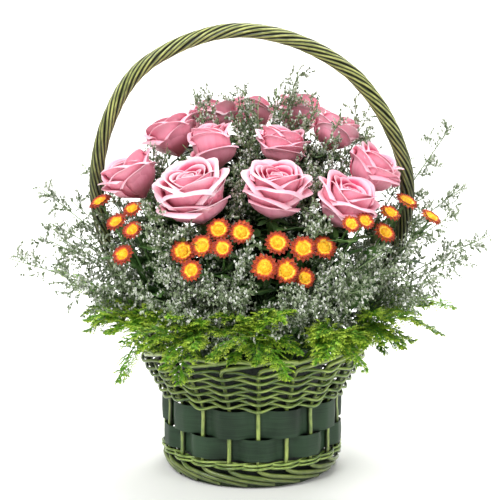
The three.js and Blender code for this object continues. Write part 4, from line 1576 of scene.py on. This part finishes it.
@dataclass
class MumSpray:
    """A branching stem of button chrysanthemums."""

    number: int
    foot: Pair
    fork: Place
    heads: tuple[tuple[float, float, float, float], ...]
    redness: float = 0.5
    stem_radius: float = 2.0
    branch_radius: float = 1.0
    fork_step: float = 0.2
    neck: float = 14.0
    bare: int = 4
    clearance: float = 2.0
    calyx: float = 0.5
    aside: float = 0.5
    behind: float = 40.0
    below: float = 190.0
    up: float = 1.1
    lift: float = 0.5
    rays: tuple[RayRow, ...] = (RayRow(16, 1.04, 0.02, 0.32), RayRow(14, 0.84, 0.16, 0.29))
    ray_foot: float = 0.3
    ray_grid: tuple[int, int] = (6, 5)
    ray_thickness: float = 0.4
    full_turn: float = 6.28
    beads: int = 46
    bead: float = 0.085
    bead_turn: float = 2.39996
    eye: float = 0.42
    eye_foot: float = 0.2
    eye_height: float = 0.2
    button: float = 0.44
    branch_leaves: tuple[float, ...] = (0.05, 0.2, 0.35, 0.5, 0.7)
    stem_leaves: int = 18
    leaf_length: Pair = (22.0, 34.0)
    leaf_clearance: float = 1.0

    def facing(self, x: float, y: float, z: float) -> np.ndarray:
        """Returns the way a head at this place looks."""
        high = (z - self.below) * self.up + abs(x) * self.lift
        return unit(vec(x * self.aside, y - self.behind, high))

    def ray(self, row: RayRow, angle: float, rng: Random) -> np.ndarray:
        """Points of one ray floret on a head of radius one that looks up.

        Args:
            row: the row that it stands in.
            angle: its place round the head, in radians.
            rng: source of its irregularities.

        Returns:
            A grid of points.
        """
        v, u = blade(*self.ray_grid)
        span = row.reach * (1 + 0.04 * rng.normal()) - self.ray_foot
        out = self.ray_foot + span * v * (1 - 0.1 * u ** 2 * v)
        half = row.width * (0.55 + 0.45 * v) * np.sqrt(np.clip(1.02 - v ** 5, 0.05, 1))
        side = u * half * 0.62
        high = row.rise * v + 0.12 * np.sin(v * math.pi * 0.8) + 0.1 * u ** 2 * v
        high = high + 0.03 * rng.normal() * v
        cos, sin = math.cos(angle), math.sin(angle)
        return np.stack([out * cos - side * sin, out * sin + side * cos, high], -1)

    def build_head(self, draft: Draft, place: np.ndarray, axis: np.ndarray, radius: float,
                   rng: Random) -> None:
        """Adds one head: rays in two rows and a raised eye of small beads.

        Args:
            draft: where it goes.
            place: its middle.
            axis: the way it looks.
            radius: its radius.
            rng: source of its irregularities.
        """
        basis = np.stack([*frame_about(axis), axis])
        origin = place - axis * 0.1 * radius
        v, u = blade(*self.ray_grid)
        edge = smooth(np.abs(u), 0.7, 1.0) * smooth(v, 0.3, 0.8)
        for row in self.rays:
            turn = rng.random() * self.full_turn
            grids = np.stack([self.ray(row, turn + k * 2 * math.pi / row.count, rng)
                              for k in range(row.count)])
            tint = np.clip(self.redness + 0.2 * rng.normal(size=row.count), 0, 1)
            draft.sheets(origin + (grids * radius) @ basis, self.ray_thickness, along=v, edge=edge,
                         tint=tint, eye=0.0)
        k = np.arange(self.beads)
        share = np.sqrt((k + 0.5) / self.beads)
        flat = np.stack([share * self.eye * np.cos(k * self.bead_turn),
                         share * self.eye * np.sin(k * self.bead_turn),
                         self.eye_foot + self.eye_height * np.sqrt(1 - share ** 2)], -1)
        way = unit(flat * vec(1.2, 1.2, 0.8)) @ basis
        draft.stars(origin + (flat * radius) @ basis, way,
                    np.full(self.beads, self.bead * radius), 4, 0.8, 2.0, eye=1.0, tint=0.5)
        dome = np.linspace(0, math.pi / 2, 5)
        spine = origin + axis * radius * (0.12 + 0.26 * np.sin(dome))[:, None]
        draft.sweep(spine, radius * self.button * np.maximum(np.cos(dome), 0.05), 14, eye=1.0,
                    tint=0.5)

    def add_leaves(self, draft: Draft, line: np.ndarray, shares: Any, space: Obstacles,
                   rng: Random) -> None:
        """Adds lobed leaves to a stalk.

        Args:
            draft: where they go.
            line: the stalk's points.
            shares: how far along the stalk they stand.
            space: what they must be clear of.
            rng: source of their places.
        """
        for share in shares:
            at = line[int(share * len(line))]
            way = unit(unit(line[-1] - line[0]) * 0.5 + unit(rng.normal(size=3)))
            length = rng.uniform(*self.leaf_length)
            reach = at + way * length * np.linspace(0.4, 1, 3)[:, None]
            if space.clear(reach, self.leaf_clearance):
                grid, rib = MUM_LEAF.grid(at, way, length, rng)
                draft.sheets(grid, MUM_LEAF.thickness, tint=rng.random(), rib=rib, along=0.1)

    def build(self, petals: Material, green: Material,
              space: Obstacles) -> None:
        """Makes the heads in one piece, and the stalks with their leaves in another.

        Args:
            petals: the finish of the heads.
            green: the finish of stalks and leaves.
            space: what they must be clear of.
        """
        rng = np.random.default_rng(400 + self.number)
        heads, stalks = Draft(), Draft()
        root, mouth, _ = Bearing.MUM_FOOT.planted(*self.foot)
        fork = vec(*self.fork)
        middle = (mouth + fork) / 2
        main = curve([root, mouth, middle, fork], 12)
        stalks.sweep(main, self.stem_radius, 8, tint=0.5)
        for i, (x, y, z, radius) in enumerate(self.heads):
            place, axis = vec(x, y, z), self.facing(x, y, z)
            start = fork + (middle - fork) * i * self.fork_step
            neck = place - axis * self.calyx * radius
            line = curve([start, neck - axis * self.neck, neck], 8)
            line = curve(space.bend(line, self.clearance), 10)
            stalks.sweep(line, self.branch_radius, 6, tint=rng.random())
            cup = neck + axis * radius * vec(0, 0.2, 0.42)[:, None]
            stalks.sweep(cup, radius * vec(0.12, 0.34, self.button), 10, tint=rng.random())
            self.build_head(heads, place, axis, radius, rng)
            self.add_leaves(stalks, line, self.branch_leaves, space, rng)
        shares = np.linspace(0, 0.95, self.stem_leaves)
        self.add_leaves(stalks, main[self.bare:], shares, space, rng)
        name = f"mum_spray_{self.number:02d}"
        heads.piece(f"{name}_heads", petals, "mum_yellow", (name,))
        stalks.piece(f"{name}_stalks", green, "stem_green", (name,))

    def occupy(self, space: Obstacles) -> None:
        """Marks the room that the heads take.

        Args:
            space: where it is marked.
        """
        for x, y, z, radius in self.heads:
            place, axis = vec(x, y, z), self.facing(x, y, z)
            space.add(place, radius * 0.85)
            space.add(place + axis * radius * 1.1, radius * 0.75)


MUM_SPRAYS = (
    MumSpray(1, (-36, -16), (-92, -64, 178), (
        (-142, -26, 259, 11.5), (-122, -68, 244, 10), (-108, -60, 255, 9.5),
        (-106, -82, 238, 9.5), (-114, -88, 217, 10)), redness=0.85),
    MumSpray(2, (-18, -33), (-40, -76, 168), (
        (-60, -98, 221, 11.5), (-43, -107, 227, 10.5), (-29, -96, 240, 11), (-25, -116, 226, 9),
        (-52, -116, 207, 9.5))),
    MumSpray(3, (1, -38), (8, -78, 160), (
        (-9, -102, 238, 11), (22, -106, 229.5, 11), (11, -120, 210, 11.5),
        (29.5, -114, 206, 11.5), (46, -108, 199, 9))),
    MumSpray(4, (24, -30), (50, -74, 165), (
        (44, -107, 225, 11.5), (63, -99, 225, 11), (85, -110, 246, 8.5), (98, -102, 248, 8.5))),
    MumSpray(5, (36, -16), (96, -68, 178), (
        (120, -66, 234, 10.5), (126, -54, 251, 10), (144, -31, 260, 11.5),
        (167, -33, 245, 10.5)), redness=0.4),
    MumSpray(6, (0, 41), (-6, 84, 178), (
        (-58, 96, 242, 12), (-32, 108, 222, 11), (2, 112, 240, 12), (30, 104, 224, 11),
        (56, 96, 250, 11.5))),
)


# ---------------------------------------------------------------- statice


@dataclass(frozen=True)
class StaticeHabit:
    """How statice branches, from the stem down to the florets."""

    stem: float = 1.9
    fork: float = 1.0
    twig: float = 0.4
    twiglet: float = 0.24
    rise: float = 30.0
    bare: int = 8
    stem_clearance: float = 3.0
    branch_clearance: float = 2.5
    fork_step: float = 0.22
    arch: float = 8.0
    twigs: int = 14
    twig_length: Pair = (18.0, 36.0)
    twig_points: int = 5
    twig_start: float = 0.22
    twig_zone: float = 0.74
    tries: int = 6
    outward: float = 0.55
    follow: float = 0.55
    bow: float = 0.12
    lift: float = 0.1
    clearance: float = 2.2
    lowest: float = 124.0
    overhang: float = 14.0
    twiglets: int = 7
    twiglet_start: float = 1.2
    twiglet_zone: float = 2.8
    twiglet_length: Pair = (5.0, 11.0)
    twiglet_clearance: float = 2.0
    florets: int = 4
    floret: float = 1.8
    floret_sizes: Pair = (0.6, 1.15)


HABIT = StaticeHabit()


@dataclass
class StaticeSpray:
    """One stem of statice with its misty branches."""

    number: int
    foot: Pair
    fork: Place
    tips: tuple[Place, ...]
    more: tuple[Place, ...] = ()

    def branches(self, space: Obstacles) -> tuple[np.ndarray, list[np.ndarray]]:
        """The lines of the stem and its branches.

        Args:
            space: what they must be clear of.

        Returns:
            The main stem, and the branches that fork from it.
        """
        root, mouth, lean = Bearing.STATICE_FOOT.planted(*self.foot)
        rise, fork = mouth + lean * HABIT.rise, vec(*self.fork)
        main = space.bend(curve([root, mouth, rise, fork], 16), HABIT.stem_clearance)
        lines = []
        for i, place in enumerate(self.tips + self.more):
            tip = vec(*place)
            start = fork + (rise - fork) * ((i * HABIT.fork_step) % 0.95)
            arc = start + (tip - start) * 0.55 + UP * HABIT.arch
            lines.append(space.bend(curve([start, arc, tip], 14), HABIT.branch_clearance))
        return main, lines

    def build(self, twig: Material, papery: Material,
              space: Obstacles) -> None:
        """Makes the twigs in one piece and the florets in another.

        Args:
            twig: the finish of stem and twigs.
            papery: the finish of the florets.
            space: what they must be clear of.
        """
        rng = np.random.default_rng(500 + self.number)
        green, bloom = Draft(), Draft()
        main, lines = self.branches(space)
        green.sweep(main, np.linspace(HABIT.stem, HABIT.fork, len(main)), 6, tint=rng.random())
        twigs: list[np.ndarray] = []
        for line in lines:
            green.sweep(line, np.linspace(HABIT.fork, HABIT.twig, len(line)), 5, tint=rng.random())
            twigs.append(resample(line[-HABIT.twig_points:], HABIT.twig_points))
            twigs.extend(self.side_twigs(line, space, rng))
        twigs.extend(self.side_twigs(main[HABIT.bare:], space, rng))
        paths = np.stack(twigs)
        green.sweep(paths, np.linspace(HABIT.twig, HABIT.twiglet, HABIT.twig_points), 3,
                    tint=rng.random(len(paths)))
        self.add_plumes(green, bloom, paths, space, rng)
        name = f"statice_{self.number:02d}"
        green.piece(f"{name}_twigs", twig, "statice_grey", (name,), sharp=180)
        bloom.piece(f"{name}_florets", papery, "statice_grey", (name,), sharp=20)

    def side_twigs(self, line: np.ndarray, space: Obstacles,
                   rng: Random) -> list[np.ndarray]:
        """Twigs that leave a branch on all sides.

        Args:
            line: the branch.
            space: what they must be clear of.
            rng: source of their places.

        Returns:
            Their lines.
        """
        found = []
        last = len(line) - 1
        for k in range(HABIT.twigs):
            share = HABIT.twig_start + HABIT.twig_zone * (k + rng.random()) / HABIT.twigs
            at = int(share * last)
            tangent = unit(line[min(at + 1, last)] - line[max(at - 1, 0)])
            outward = unit(vec(line[at][0], line[at][1], 40.0))
            for _ in range(HABIT.tries):
                way = unit(tangent * HABIT.follow + unit(rng.normal(size=3))
                           + outward * HABIT.outward)
                length = rng.uniform(*HABIT.twig_length) * (1.15 - 0.7 * at / last)
                bow = unit(rng.normal(size=3)) * length * HABIT.bow + UP * length * HABIT.lift
                end = line[at] + way * length
                path = curve([line[at], (line[at] + end) / 2 + bow, end], HABIT.twig_points)
                outside = math.hypot(end[0], end[1]) > wall_radius(end[2]) + HABIT.overhang
                if (end[2] > HABIT.lowest or outside) and space.clear(path[1:], HABIT.clearance):
                    found.append(path)
                    break
        return found

    def add_plumes(self, green: Draft, bloom: Draft, twigs: np.ndarray, space: Obstacles,
                   rng: Random) -> None:
        """Adds the short twiglets of every twig and the florets that line them.

        Args:
            green: where the twiglets go.
            bloom: where the florets go.
            twigs: the twigs' lines.
            space: what the twiglets must be clear of.
            rng: source of their places.
        """
        count = HABIT.twiglets
        size = (len(twigs), count)
        share = (np.arange(count) + 0.6) / count
        start, tangent = places_on(twigs, HABIT.twiglet_start + share * HABIT.twiglet_zone)
        random = unit(rng.normal(size=(*size, 3)))
        way = unit(tangent * 0.8 + random * 0.9 + UP * 0.15)
        length = rng.uniform(*HABIT.twiglet_length, size=(*size, 1))
        middle = start + way * length * 0.5 + random * length * 0.06
        paths = np.stack([start, middle, start + way * length], 2).reshape(-1, 3, 3)
        paths = paths[space.depth(paths[:, 2], HABIT.twiglet_clearance) < 0]
        green.sweep(paths, HABIT.twiglet * vec(1, 0.8, 0.5), 3, tint=rng.random(len(paths)))
        t = np.linspace(0.35, 1.0, HABIT.florets)[None, :, None]
        line = paths[:, None, 0] * (1 - t) + paths[:, None, 2] * t
        jitter = unit(rng.normal(size=line.shape))
        axes = unit(jitter + unit(paths[:, 2] - paths[:, 0])[:, None] * 0.7).reshape(-1, 3)
        centres = line.reshape(-1, 3) + axes
        radii = HABIT.floret * rng.uniform(*HABIT.floret_sizes, size=len(centres))
        bloom.stars(centres, axes, radii, 2, 0.55, 1.1, tint=rng.beta(1.3, 1.5, size=len(centres)))


STATICE_SPRAYS = (
    StaticeSpray(1, (-48, 8), (-96, 14, 160),
                 ((-196, 6, 236), (-210, 22, 271), (-158, 26, 292)),
                 ((-150, -10, 250), (-176, 10, 258), (-140, 8, 236), (-102, 4, 300),
                  (-134, 0, 262), (-88, -14, 292), (-94, -4, 310), (-80, -4, 320))),
    StaticeSpray(2, (-38, -28), (-92, -52, 148),
                 ((-228, -34, 207), (-168, -80, 190), (-174, -54, 228)),
                 ((-120, -90, 200), (-196, -30, 226), (-140, -70, 180), (-100, -42, 252),
                  (-132, -58, 222))),
    StaticeSpray(3, (-11, -47), (-30, -84, 140),
                 ((-96, -122, 186), (-66, -132, 168), (-8, -134, 184)),
                 ((-84, -100, 226), (-20, -118, 150), (-92, -88, 262), (-6, -60, 286),
                  (-64, -116, 200), (-34, -122, 192), (-80, -104, 208), (-8, -124, 206),
                  (-2, -112, 234), (-22, -128, 178), (-84, -92, 240), (-56, -88, 250))),
    StaticeSpray(4, (25, -42), (54, -82, 152),
                 ((36, -132, 176), (92, -122, 190), (126, -104, 206)),
                 ((60, -120, 196), (10, -128, 160), (58, -104, 250), (112, -112, 222),
                  (52, -92, 262), (80, -112, 212), (28, -128, 186), (64, -116, 178),
                  (58, -66, 276))),
    StaticeSpray(5, (44, -20), (104, -44, 152),
                 ((198, -42, 208), (164, -76, 192), (224, -28, 228)),
                 ((150, -60, 220), (186, -36, 250), (140, -84, 178), (112, -50, 250))),
    StaticeSpray(6, (48, 10), (104, 26, 168),
                 ((204, 12, 270), (192, 18, 327), (158, 36, 292)),
                 ((160, 0, 262), (150, 14, 250), (176, 24, 240), (102, 26, 360),
                  (112, 0, 330), (94, 22, 350))),
    StaticeSpray(7, (2, 8), (6, 23, 250),
                 ((-55, 12, 360), (28, 24, 368), (-14, 18, 364)),
                 ((-12, -40, 296), (60, -36, 290), (62, -2, 340), (-4, -20, 316),
                  (6, 10, 352), (-54, 10, 356), (84, 0, 318), (-8, -70, 262), (45, 28, 372),
                  (-75, -20, 286), (57, -36, 280), (54, 0, 308), (92, -4, 296), (-60, 10, 304),
                  (-18, -34, 290), (44, -30, 300), (80, -28, 286), (64, 6, 322), (-8, 4, 318),
                  (-12, 14, 336), (-66, -4, 312), (50, 14, 334), (88, -12, 306), (46, -60, 256),
                  (46, 22, 385), (64, 14, 354), (24, 24, 366), (84, -8, 338), (-8, 26, 364))),
    StaticeSpray(8, (25, 42), (52, 92, 170),
                 ((110, 96, 262), (64, 128, 226), (128, 110, 206)), ((110, 50, 330),)),
    StaticeSpray(9, (-25, 42), (-54, 92, 170),
                 ((-112, 92, 262), (-70, 126, 220), (-130, 108, 206)), ((-96, 56, 320),)),
)


# ---------------------------------------------------------------- fern


@dataclass(frozen=True)
class FernHabit:
    """How a fern frond is built up from its rib to its leaflets."""

    stem: float = 1.5
    rib: float = 0.55
    rib_points: int = 24
    rise: float = 26.0
    fork_step: float = 0.3
    arch: float = 7.0
    pinnae: int = 12
    pinna: float = 22.0
    pinna_points: int = 5
    spread: float = 0.45
    droop: float = 0.12
    bow: float = 0.07
    leaflets: int = 7
    leaflet: float = 5.6
    leaflet_sizes: Pair = (0.75, 1.15)
    waist: float = 0.45
    breadth: float = 0.24
    thickness: float = 0.5
    margin: float = 1.5
    length: Pair = (32.0, 50.0)
    rising: Pair = (-16.0, 34.0)


FERN = FernHabit()


@dataclass
class FernSpray:
    """A fern stem over the rim, with drooping feathery fronds."""

    number: int
    foot: Pair
    over: Place
    tips: tuple[Place, ...]
    extra: int = 9

    def frond(self, draft: Draft, start: np.ndarray, tip: np.ndarray, size: float,
              space: Obstacles, rng: Random) -> None:
        """Adds one frond: a rib with leaflet-bearing side ribs round it.

        Args:
            draft: where it goes.
            start: where it leaves the stem.
            tip: where it ends.
            size: how broad it is, for the habit's own breadth.
            space: what it must stay inside.
            rng: source of its irregularities.
        """
        last = FERN.rib_points - 1
        middle = (start + tip) / 2 + UP * FERN.arch
        rib = curve([start, middle, space.inside(tip, FERN.margin)], FERN.rib_points)
        draft.sweep(rib, np.linspace(FERN.rib * 1.3, FERN.rib * 0.5, FERN.rib_points), 5,
                    tint=rng.random(), rib=0.6)
        span = unit((tip - start) * vec(1, 1, 0.001))
        flat = vec(-span[1], span[0], 0)
        shade = rng.random() * 0.5
        paths = []
        for k in range(FERN.pinnae * 2):
            pair, left = divmod(k, 2)
            t = (pair + 0.7 + 0.3 * left) / (FERN.pinnae + 0.5)
            i = int(t * last)
            tangent = unit(rib[min(i + 1, last)] - rib[max(i - 1, 0)])
            roll = FERN.spread * rng.normal() + math.pi * left
            across = flat * math.cos(roll) + UP * math.sin(roll) * (1 - 2 * left)
            reach = FERN.pinna * size * (1 - t) ** 0.6 * min(1.0, 0.55 + 2.4 * t)
            way = unit(across + tangent * (0.8 + 0.2 * rng.random()))
            end = rib[i] + way * max(reach, 4.0) - UP * FERN.droop * reach
            end = space.inside(end, FERN.margin)
            bow = (rib[i] + end) / 2 + UP * FERN.bow * reach
            paths.append(curve([rib[i], bow, end], FERN.pinna_points))
        ribs = np.stack(paths)
        draft.sweep(ribs, np.linspace(0.4, 0.2, FERN.pinna_points), 3, tint=shade, rib=0.4)
        self.leaflets(draft, ribs, shade, rng)

    def leaflets(self, draft: Draft, ribs: np.ndarray, shade: float,
                 rng: Random) -> None:
        """Adds the small leaflets along side ribs.

        Args:
            draft: where they go.
            ribs: the lines of the side ribs.
            shade: how light this frond is.
            rng: source of their irregularities.
        """
        size = (len(ribs), FERN.leaflets, 1)
        share = np.linspace(0.12, 1.0, FERN.leaflets)
        at, tangent = places_on(ribs, share * 3.999)
        side = unit(np.cross(tangent, UP) + 1e-6)
        length = FERN.leaflet * (1.05 - 0.5 * share)[None, :, None]
        ways, lengths = [], []
        for sign in (-1, 1):
            ways.append(unit(tangent * 0.9 + sign * side + UP * (0.3 * rng.normal(size=size))))
            lengths.append(length * rng.uniform(*FERN.leaflet_sizes, size=size))
        root = np.concatenate([at, at]).reshape(-1, 3)
        way = np.concatenate(ways).reshape(-1, 3)
        reach = np.concatenate(lengths).reshape(-1, 1)
        flank = unit(np.cross(way, UP) + 1e-6)
        face = np.cross(flank, way) * FERN.thickness
        broad = flank * FERN.breadth * reach
        waist = root + way * reach * FERN.waist
        points = np.stack([root, root + way * reach, waist + broad + face, waist - broad + face], 1)
        tris = np.array([(0, 1, 2), (1, 0, 3), (0, 2, 3), (2, 1, 3)])
        along = np.tile(share, 2 * len(ribs))[:, None] * 0.6 + vec(0, 0.4, 0.2, 0.2)
        draft.add(points, tris=copies(tris, len(root), 4), along=along,
                  tint=for_each(shade + 0.5 * rng.random(len(root)), len(root), 4))

    def build(self, leaf: Material, space: Obstacles) -> None:
        """Makes the spray in one piece.

        Args:
            leaf: its finish.
            space: what it must stay inside.
        """
        rng = np.random.default_rng(600 + self.number)
        draft = Draft()
        root, mouth, lean = Bearing.FERN_FOOT.planted(*self.foot)
        rise, over = mouth + lean * FERN.rise, vec(*self.over)
        main = curve([root, mouth, rise, over], 14)
        draft.sweep(main, np.linspace(FERN.stem, FERN.rib * 1.4, 14), 6, tint=rng.random(), rib=0.3)
        for i, tip in enumerate(self.tips):
            start = over + (rise - over) * (0.02 + i * FERN.fork_step)
            self.frond(draft, start, vec(*tip), 1.0, space, rng)
        outward = unit(over * LEVEL)
        around = vec(-outward[1], outward[0], 0)
        for k in range(self.extra):
            start = over + (rise - over) * rng.uniform(0.0, 0.6)
            swing = (k / (self.extra - 1) - 0.5) * 2.2 + 0.2 * rng.normal()
            way = outward * math.cos(swing) + around * math.sin(swing)
            tip = start + way * rng.uniform(*FERN.length) + UP * rng.uniform(*FERN.rising)
            self.frond(draft, start, tip, rng.uniform(0.7, 1.0), space, rng)
        name = f"fern_{self.number:02d}"
        draft.piece(f"{name}_fronds", leaf, "fern_green", (name,), sharp=25)


FERN_SPRAYS = (
    FernSpray(1, (-57, -6), (-132, -22, 160), ((-192, -12, 192), (-155, -44, 138))),
    FernSpray(2, (-47, -35), (-112, -84, 152), ((-148, -88, 158), (-118, -96, 103))),
    FernSpray(3, (-27, -54), (-66, -122, 150), ((-108, -146, 150), (-62, -134, 112))),
    FernSpray(4, (3, -58), (2, -136, 154), ((-36, -150, 136), (32, -146, 118))),
    FernSpray(5, (35, -49), (72, -116, 150), ((62, -150, 138), (98, -128, 122))),
    FernSpray(6, (51, -31), (116, -78, 152), ((150, -96, 156), (148, -72, 134))),
    FernSpray(7, (58, -7), (136, -16, 158), ((192, -34, 160), (182, -28, 133))),
    FernSpray(8, (42, 40), (98, 100, 156), ((142, 108, 158), (96, 128, 120))),
    FernSpray(9, (0, 58), (6, 136, 156), ((-40, 152, 150), (44, 148, 126))),
    FernSpray(10, (-42, 40), (-98, 100, 156), ((-144, 102, 158), (-100, 126, 118))),
)


# ---------------------------------------------------------------- the studio


@dataclass(frozen=True)
class Lamp:
    """A soft round light: its place, what it is aimed at and its size in metres, and its watts."""

    name: str
    place: Place
    target: Place
    size: float
    power: float

    def build(self) -> None:
        """Makes the light."""
        data = bpy.data.lights.new(self.name, "AREA")
        data.shape, data.size, data.energy = "DISK", self.size, self.power
        lamp = show(self.name, data)
        aim = vec(*self.target) - vec(*self.place)
        yaw = math.atan2(aim[1], aim[0]) - math.pi / 2
        tilt = math.atan2(math.hypot(aim[0], aim[1]), -aim[2])
        lamp.location, lamp.rotation_euler = self.place, (tilt, 0, yaw)


@dataclass
class Studio:
    """A plain pale floor that sweeps up behind, soft lights, and the camera.

    Lengths are in metres, but for the lens and the sensor, which are in millimetres.
    """

    distance: float = 1.0
    camera_height: float = 0.331
    pitch: float = 6.87
    lens: float = 74.95
    sensor: float = 36.0
    shift: float = -0.0038
    half_width: float = 5.0
    front: float = -4.0
    back: float = 1.6
    sweep: float = 1.2
    top: float = 4.0
    air: float = 0.45
    lamps: tuple[Lamp, ...] = (
        Lamp("studio_key", (-0.8, -1.2, 1.5), (0, 0, 0.2), 0.9, 30.0),
        Lamp("studio_fill", (1.3, -1.1, 0.9), (0, 0, 0.2), 1.2, 9.0),
        Lamp("studio_top", (0.1, 0.2, 1.8), (0, 0, 0.2), 1.2, 18.0),
        Lamp("studio_back", (0.4, 1.3, 1.4), (0, 0, 0.2), 1.2, 22.0),
        Lamp("studio_wall", (0.0, 1.2, 1.7), (0, 2.7, 0.5), 1.6, 45.0),
    )

    def build_floor(self) -> None:
        """Makes the floor."""
        profile = [(self.front, 0.0), (self.back, 0.0)]
        profile += [(self.back + self.sweep * math.sin(a), self.sweep - self.sweep * math.cos(a))
                    for a in np.linspace(0.1, math.pi / 2, 12)]
        profile.append((self.back + self.sweep, self.top))
        points = [(x, y, z) for y, z in profile for x in (-self.half_width, self.half_width)]
        faces = [(2 * i, 2 * i + 1, 2 * i + 3, 2 * i + 2) for i in range(len(profile) - 1)]
        mesh = bpy.data.meshes.new("studio_floor")
        mesh.from_pydata(points, [], faces)
        mesh.shade_smooth()
        r = Recipe("pale_paper")
        tone = r.mix(r.noise(3.0, 2.0) * 0.3, "f7f7f5", "f2f2f0")
        mesh.materials.append(r.surface({"Base Color": tone, "Roughness": 0.9}))
        show("studio_floor", mesh)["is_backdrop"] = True

    def build_air(self) -> None:
        """Makes the pale surroundings."""
        world = bpy.data.worlds.new("studio_air")
        world.use_nodes = True
        sky = world.node_tree.nodes["Background"]
        sky.inputs["Color"].default_value = (1.0, 1.0, 1.0, 1.0)
        sky.inputs["Strength"].default_value = self.air
        bpy.context.scene.world = world

    def build_camera(self) -> None:
        """Makes the camera where the picture was taken from."""
        data = bpy.data.cameras.new("camera")
        data.lens, data.sensor_width, data.shift_x = self.lens, self.sensor, self.shift
        camera = show("camera", data)
        camera.location = (0, -self.distance, self.camera_height)
        camera.rotation_euler = (math.radians(90 - self.pitch), 0, 0)
        bpy.context.scene.camera = camera
        bpy.context.scene.view_settings.view_transform = "Standard"

    def build(self) -> None:
        """Makes the whole studio."""
        self.build_floor()
        for lamp in self.lamps:
            lamp.build()
        self.build_air()
        self.build_camera()


# ---------------------------------------------------------------- making it


def main() -> None:
    """Dresses the frame, piece by piece."""
    logging.basicConfig(level=logging.INFO, format="%(message)s")
    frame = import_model()
    packed = [list(corner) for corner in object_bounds()]
    Studio().build()
    basket = Basket()
    basket.build(frame["nodes"])
    space = Obstacles(vec(*packed[0]) / MM, vec(*packed[1]) / MM)
    basket.occupy(space)
    for rose in ROSES:
        rose.occupy(space)
    petal = RosePetal().make()
    stalk = Greenery("rose_leaf", "7d9c52", "44672f", "20381c", 0.42, 0.25).make()
    for rose in ROSES:
        rose.build_bloom(petal)
        rose.build_stem(stalk, space)
    mum_petal = ButtonFlower().make()
    mum_leaf = Greenery("mum_leaf", "86a560", "4c7236", "28451f", 0.5, 0.2).make()
    for spray in MUM_SPRAYS:
        spray.build(mum_petal, mum_leaf, space)
    for spray in MUM_SPRAYS:
        spray.occupy(space)
    twig = Greenery("statice_twig", "9cae7e", "6d8656", "3c5230", 0.65, 0.4).make()
    papery = PaperyFloret().make()
    for spray in STATICE_SPRAYS:
        spray.build(twig, papery, space)
    leaf = Greenery("fern_leaf", "cde04e", "70aa2c", "2f5f18", 0.5, 0.72).make()
    for spray in FERN_SPRAYS:
        spray.build(leaf, space)
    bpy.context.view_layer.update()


if __name__ == "__main__":
    main()
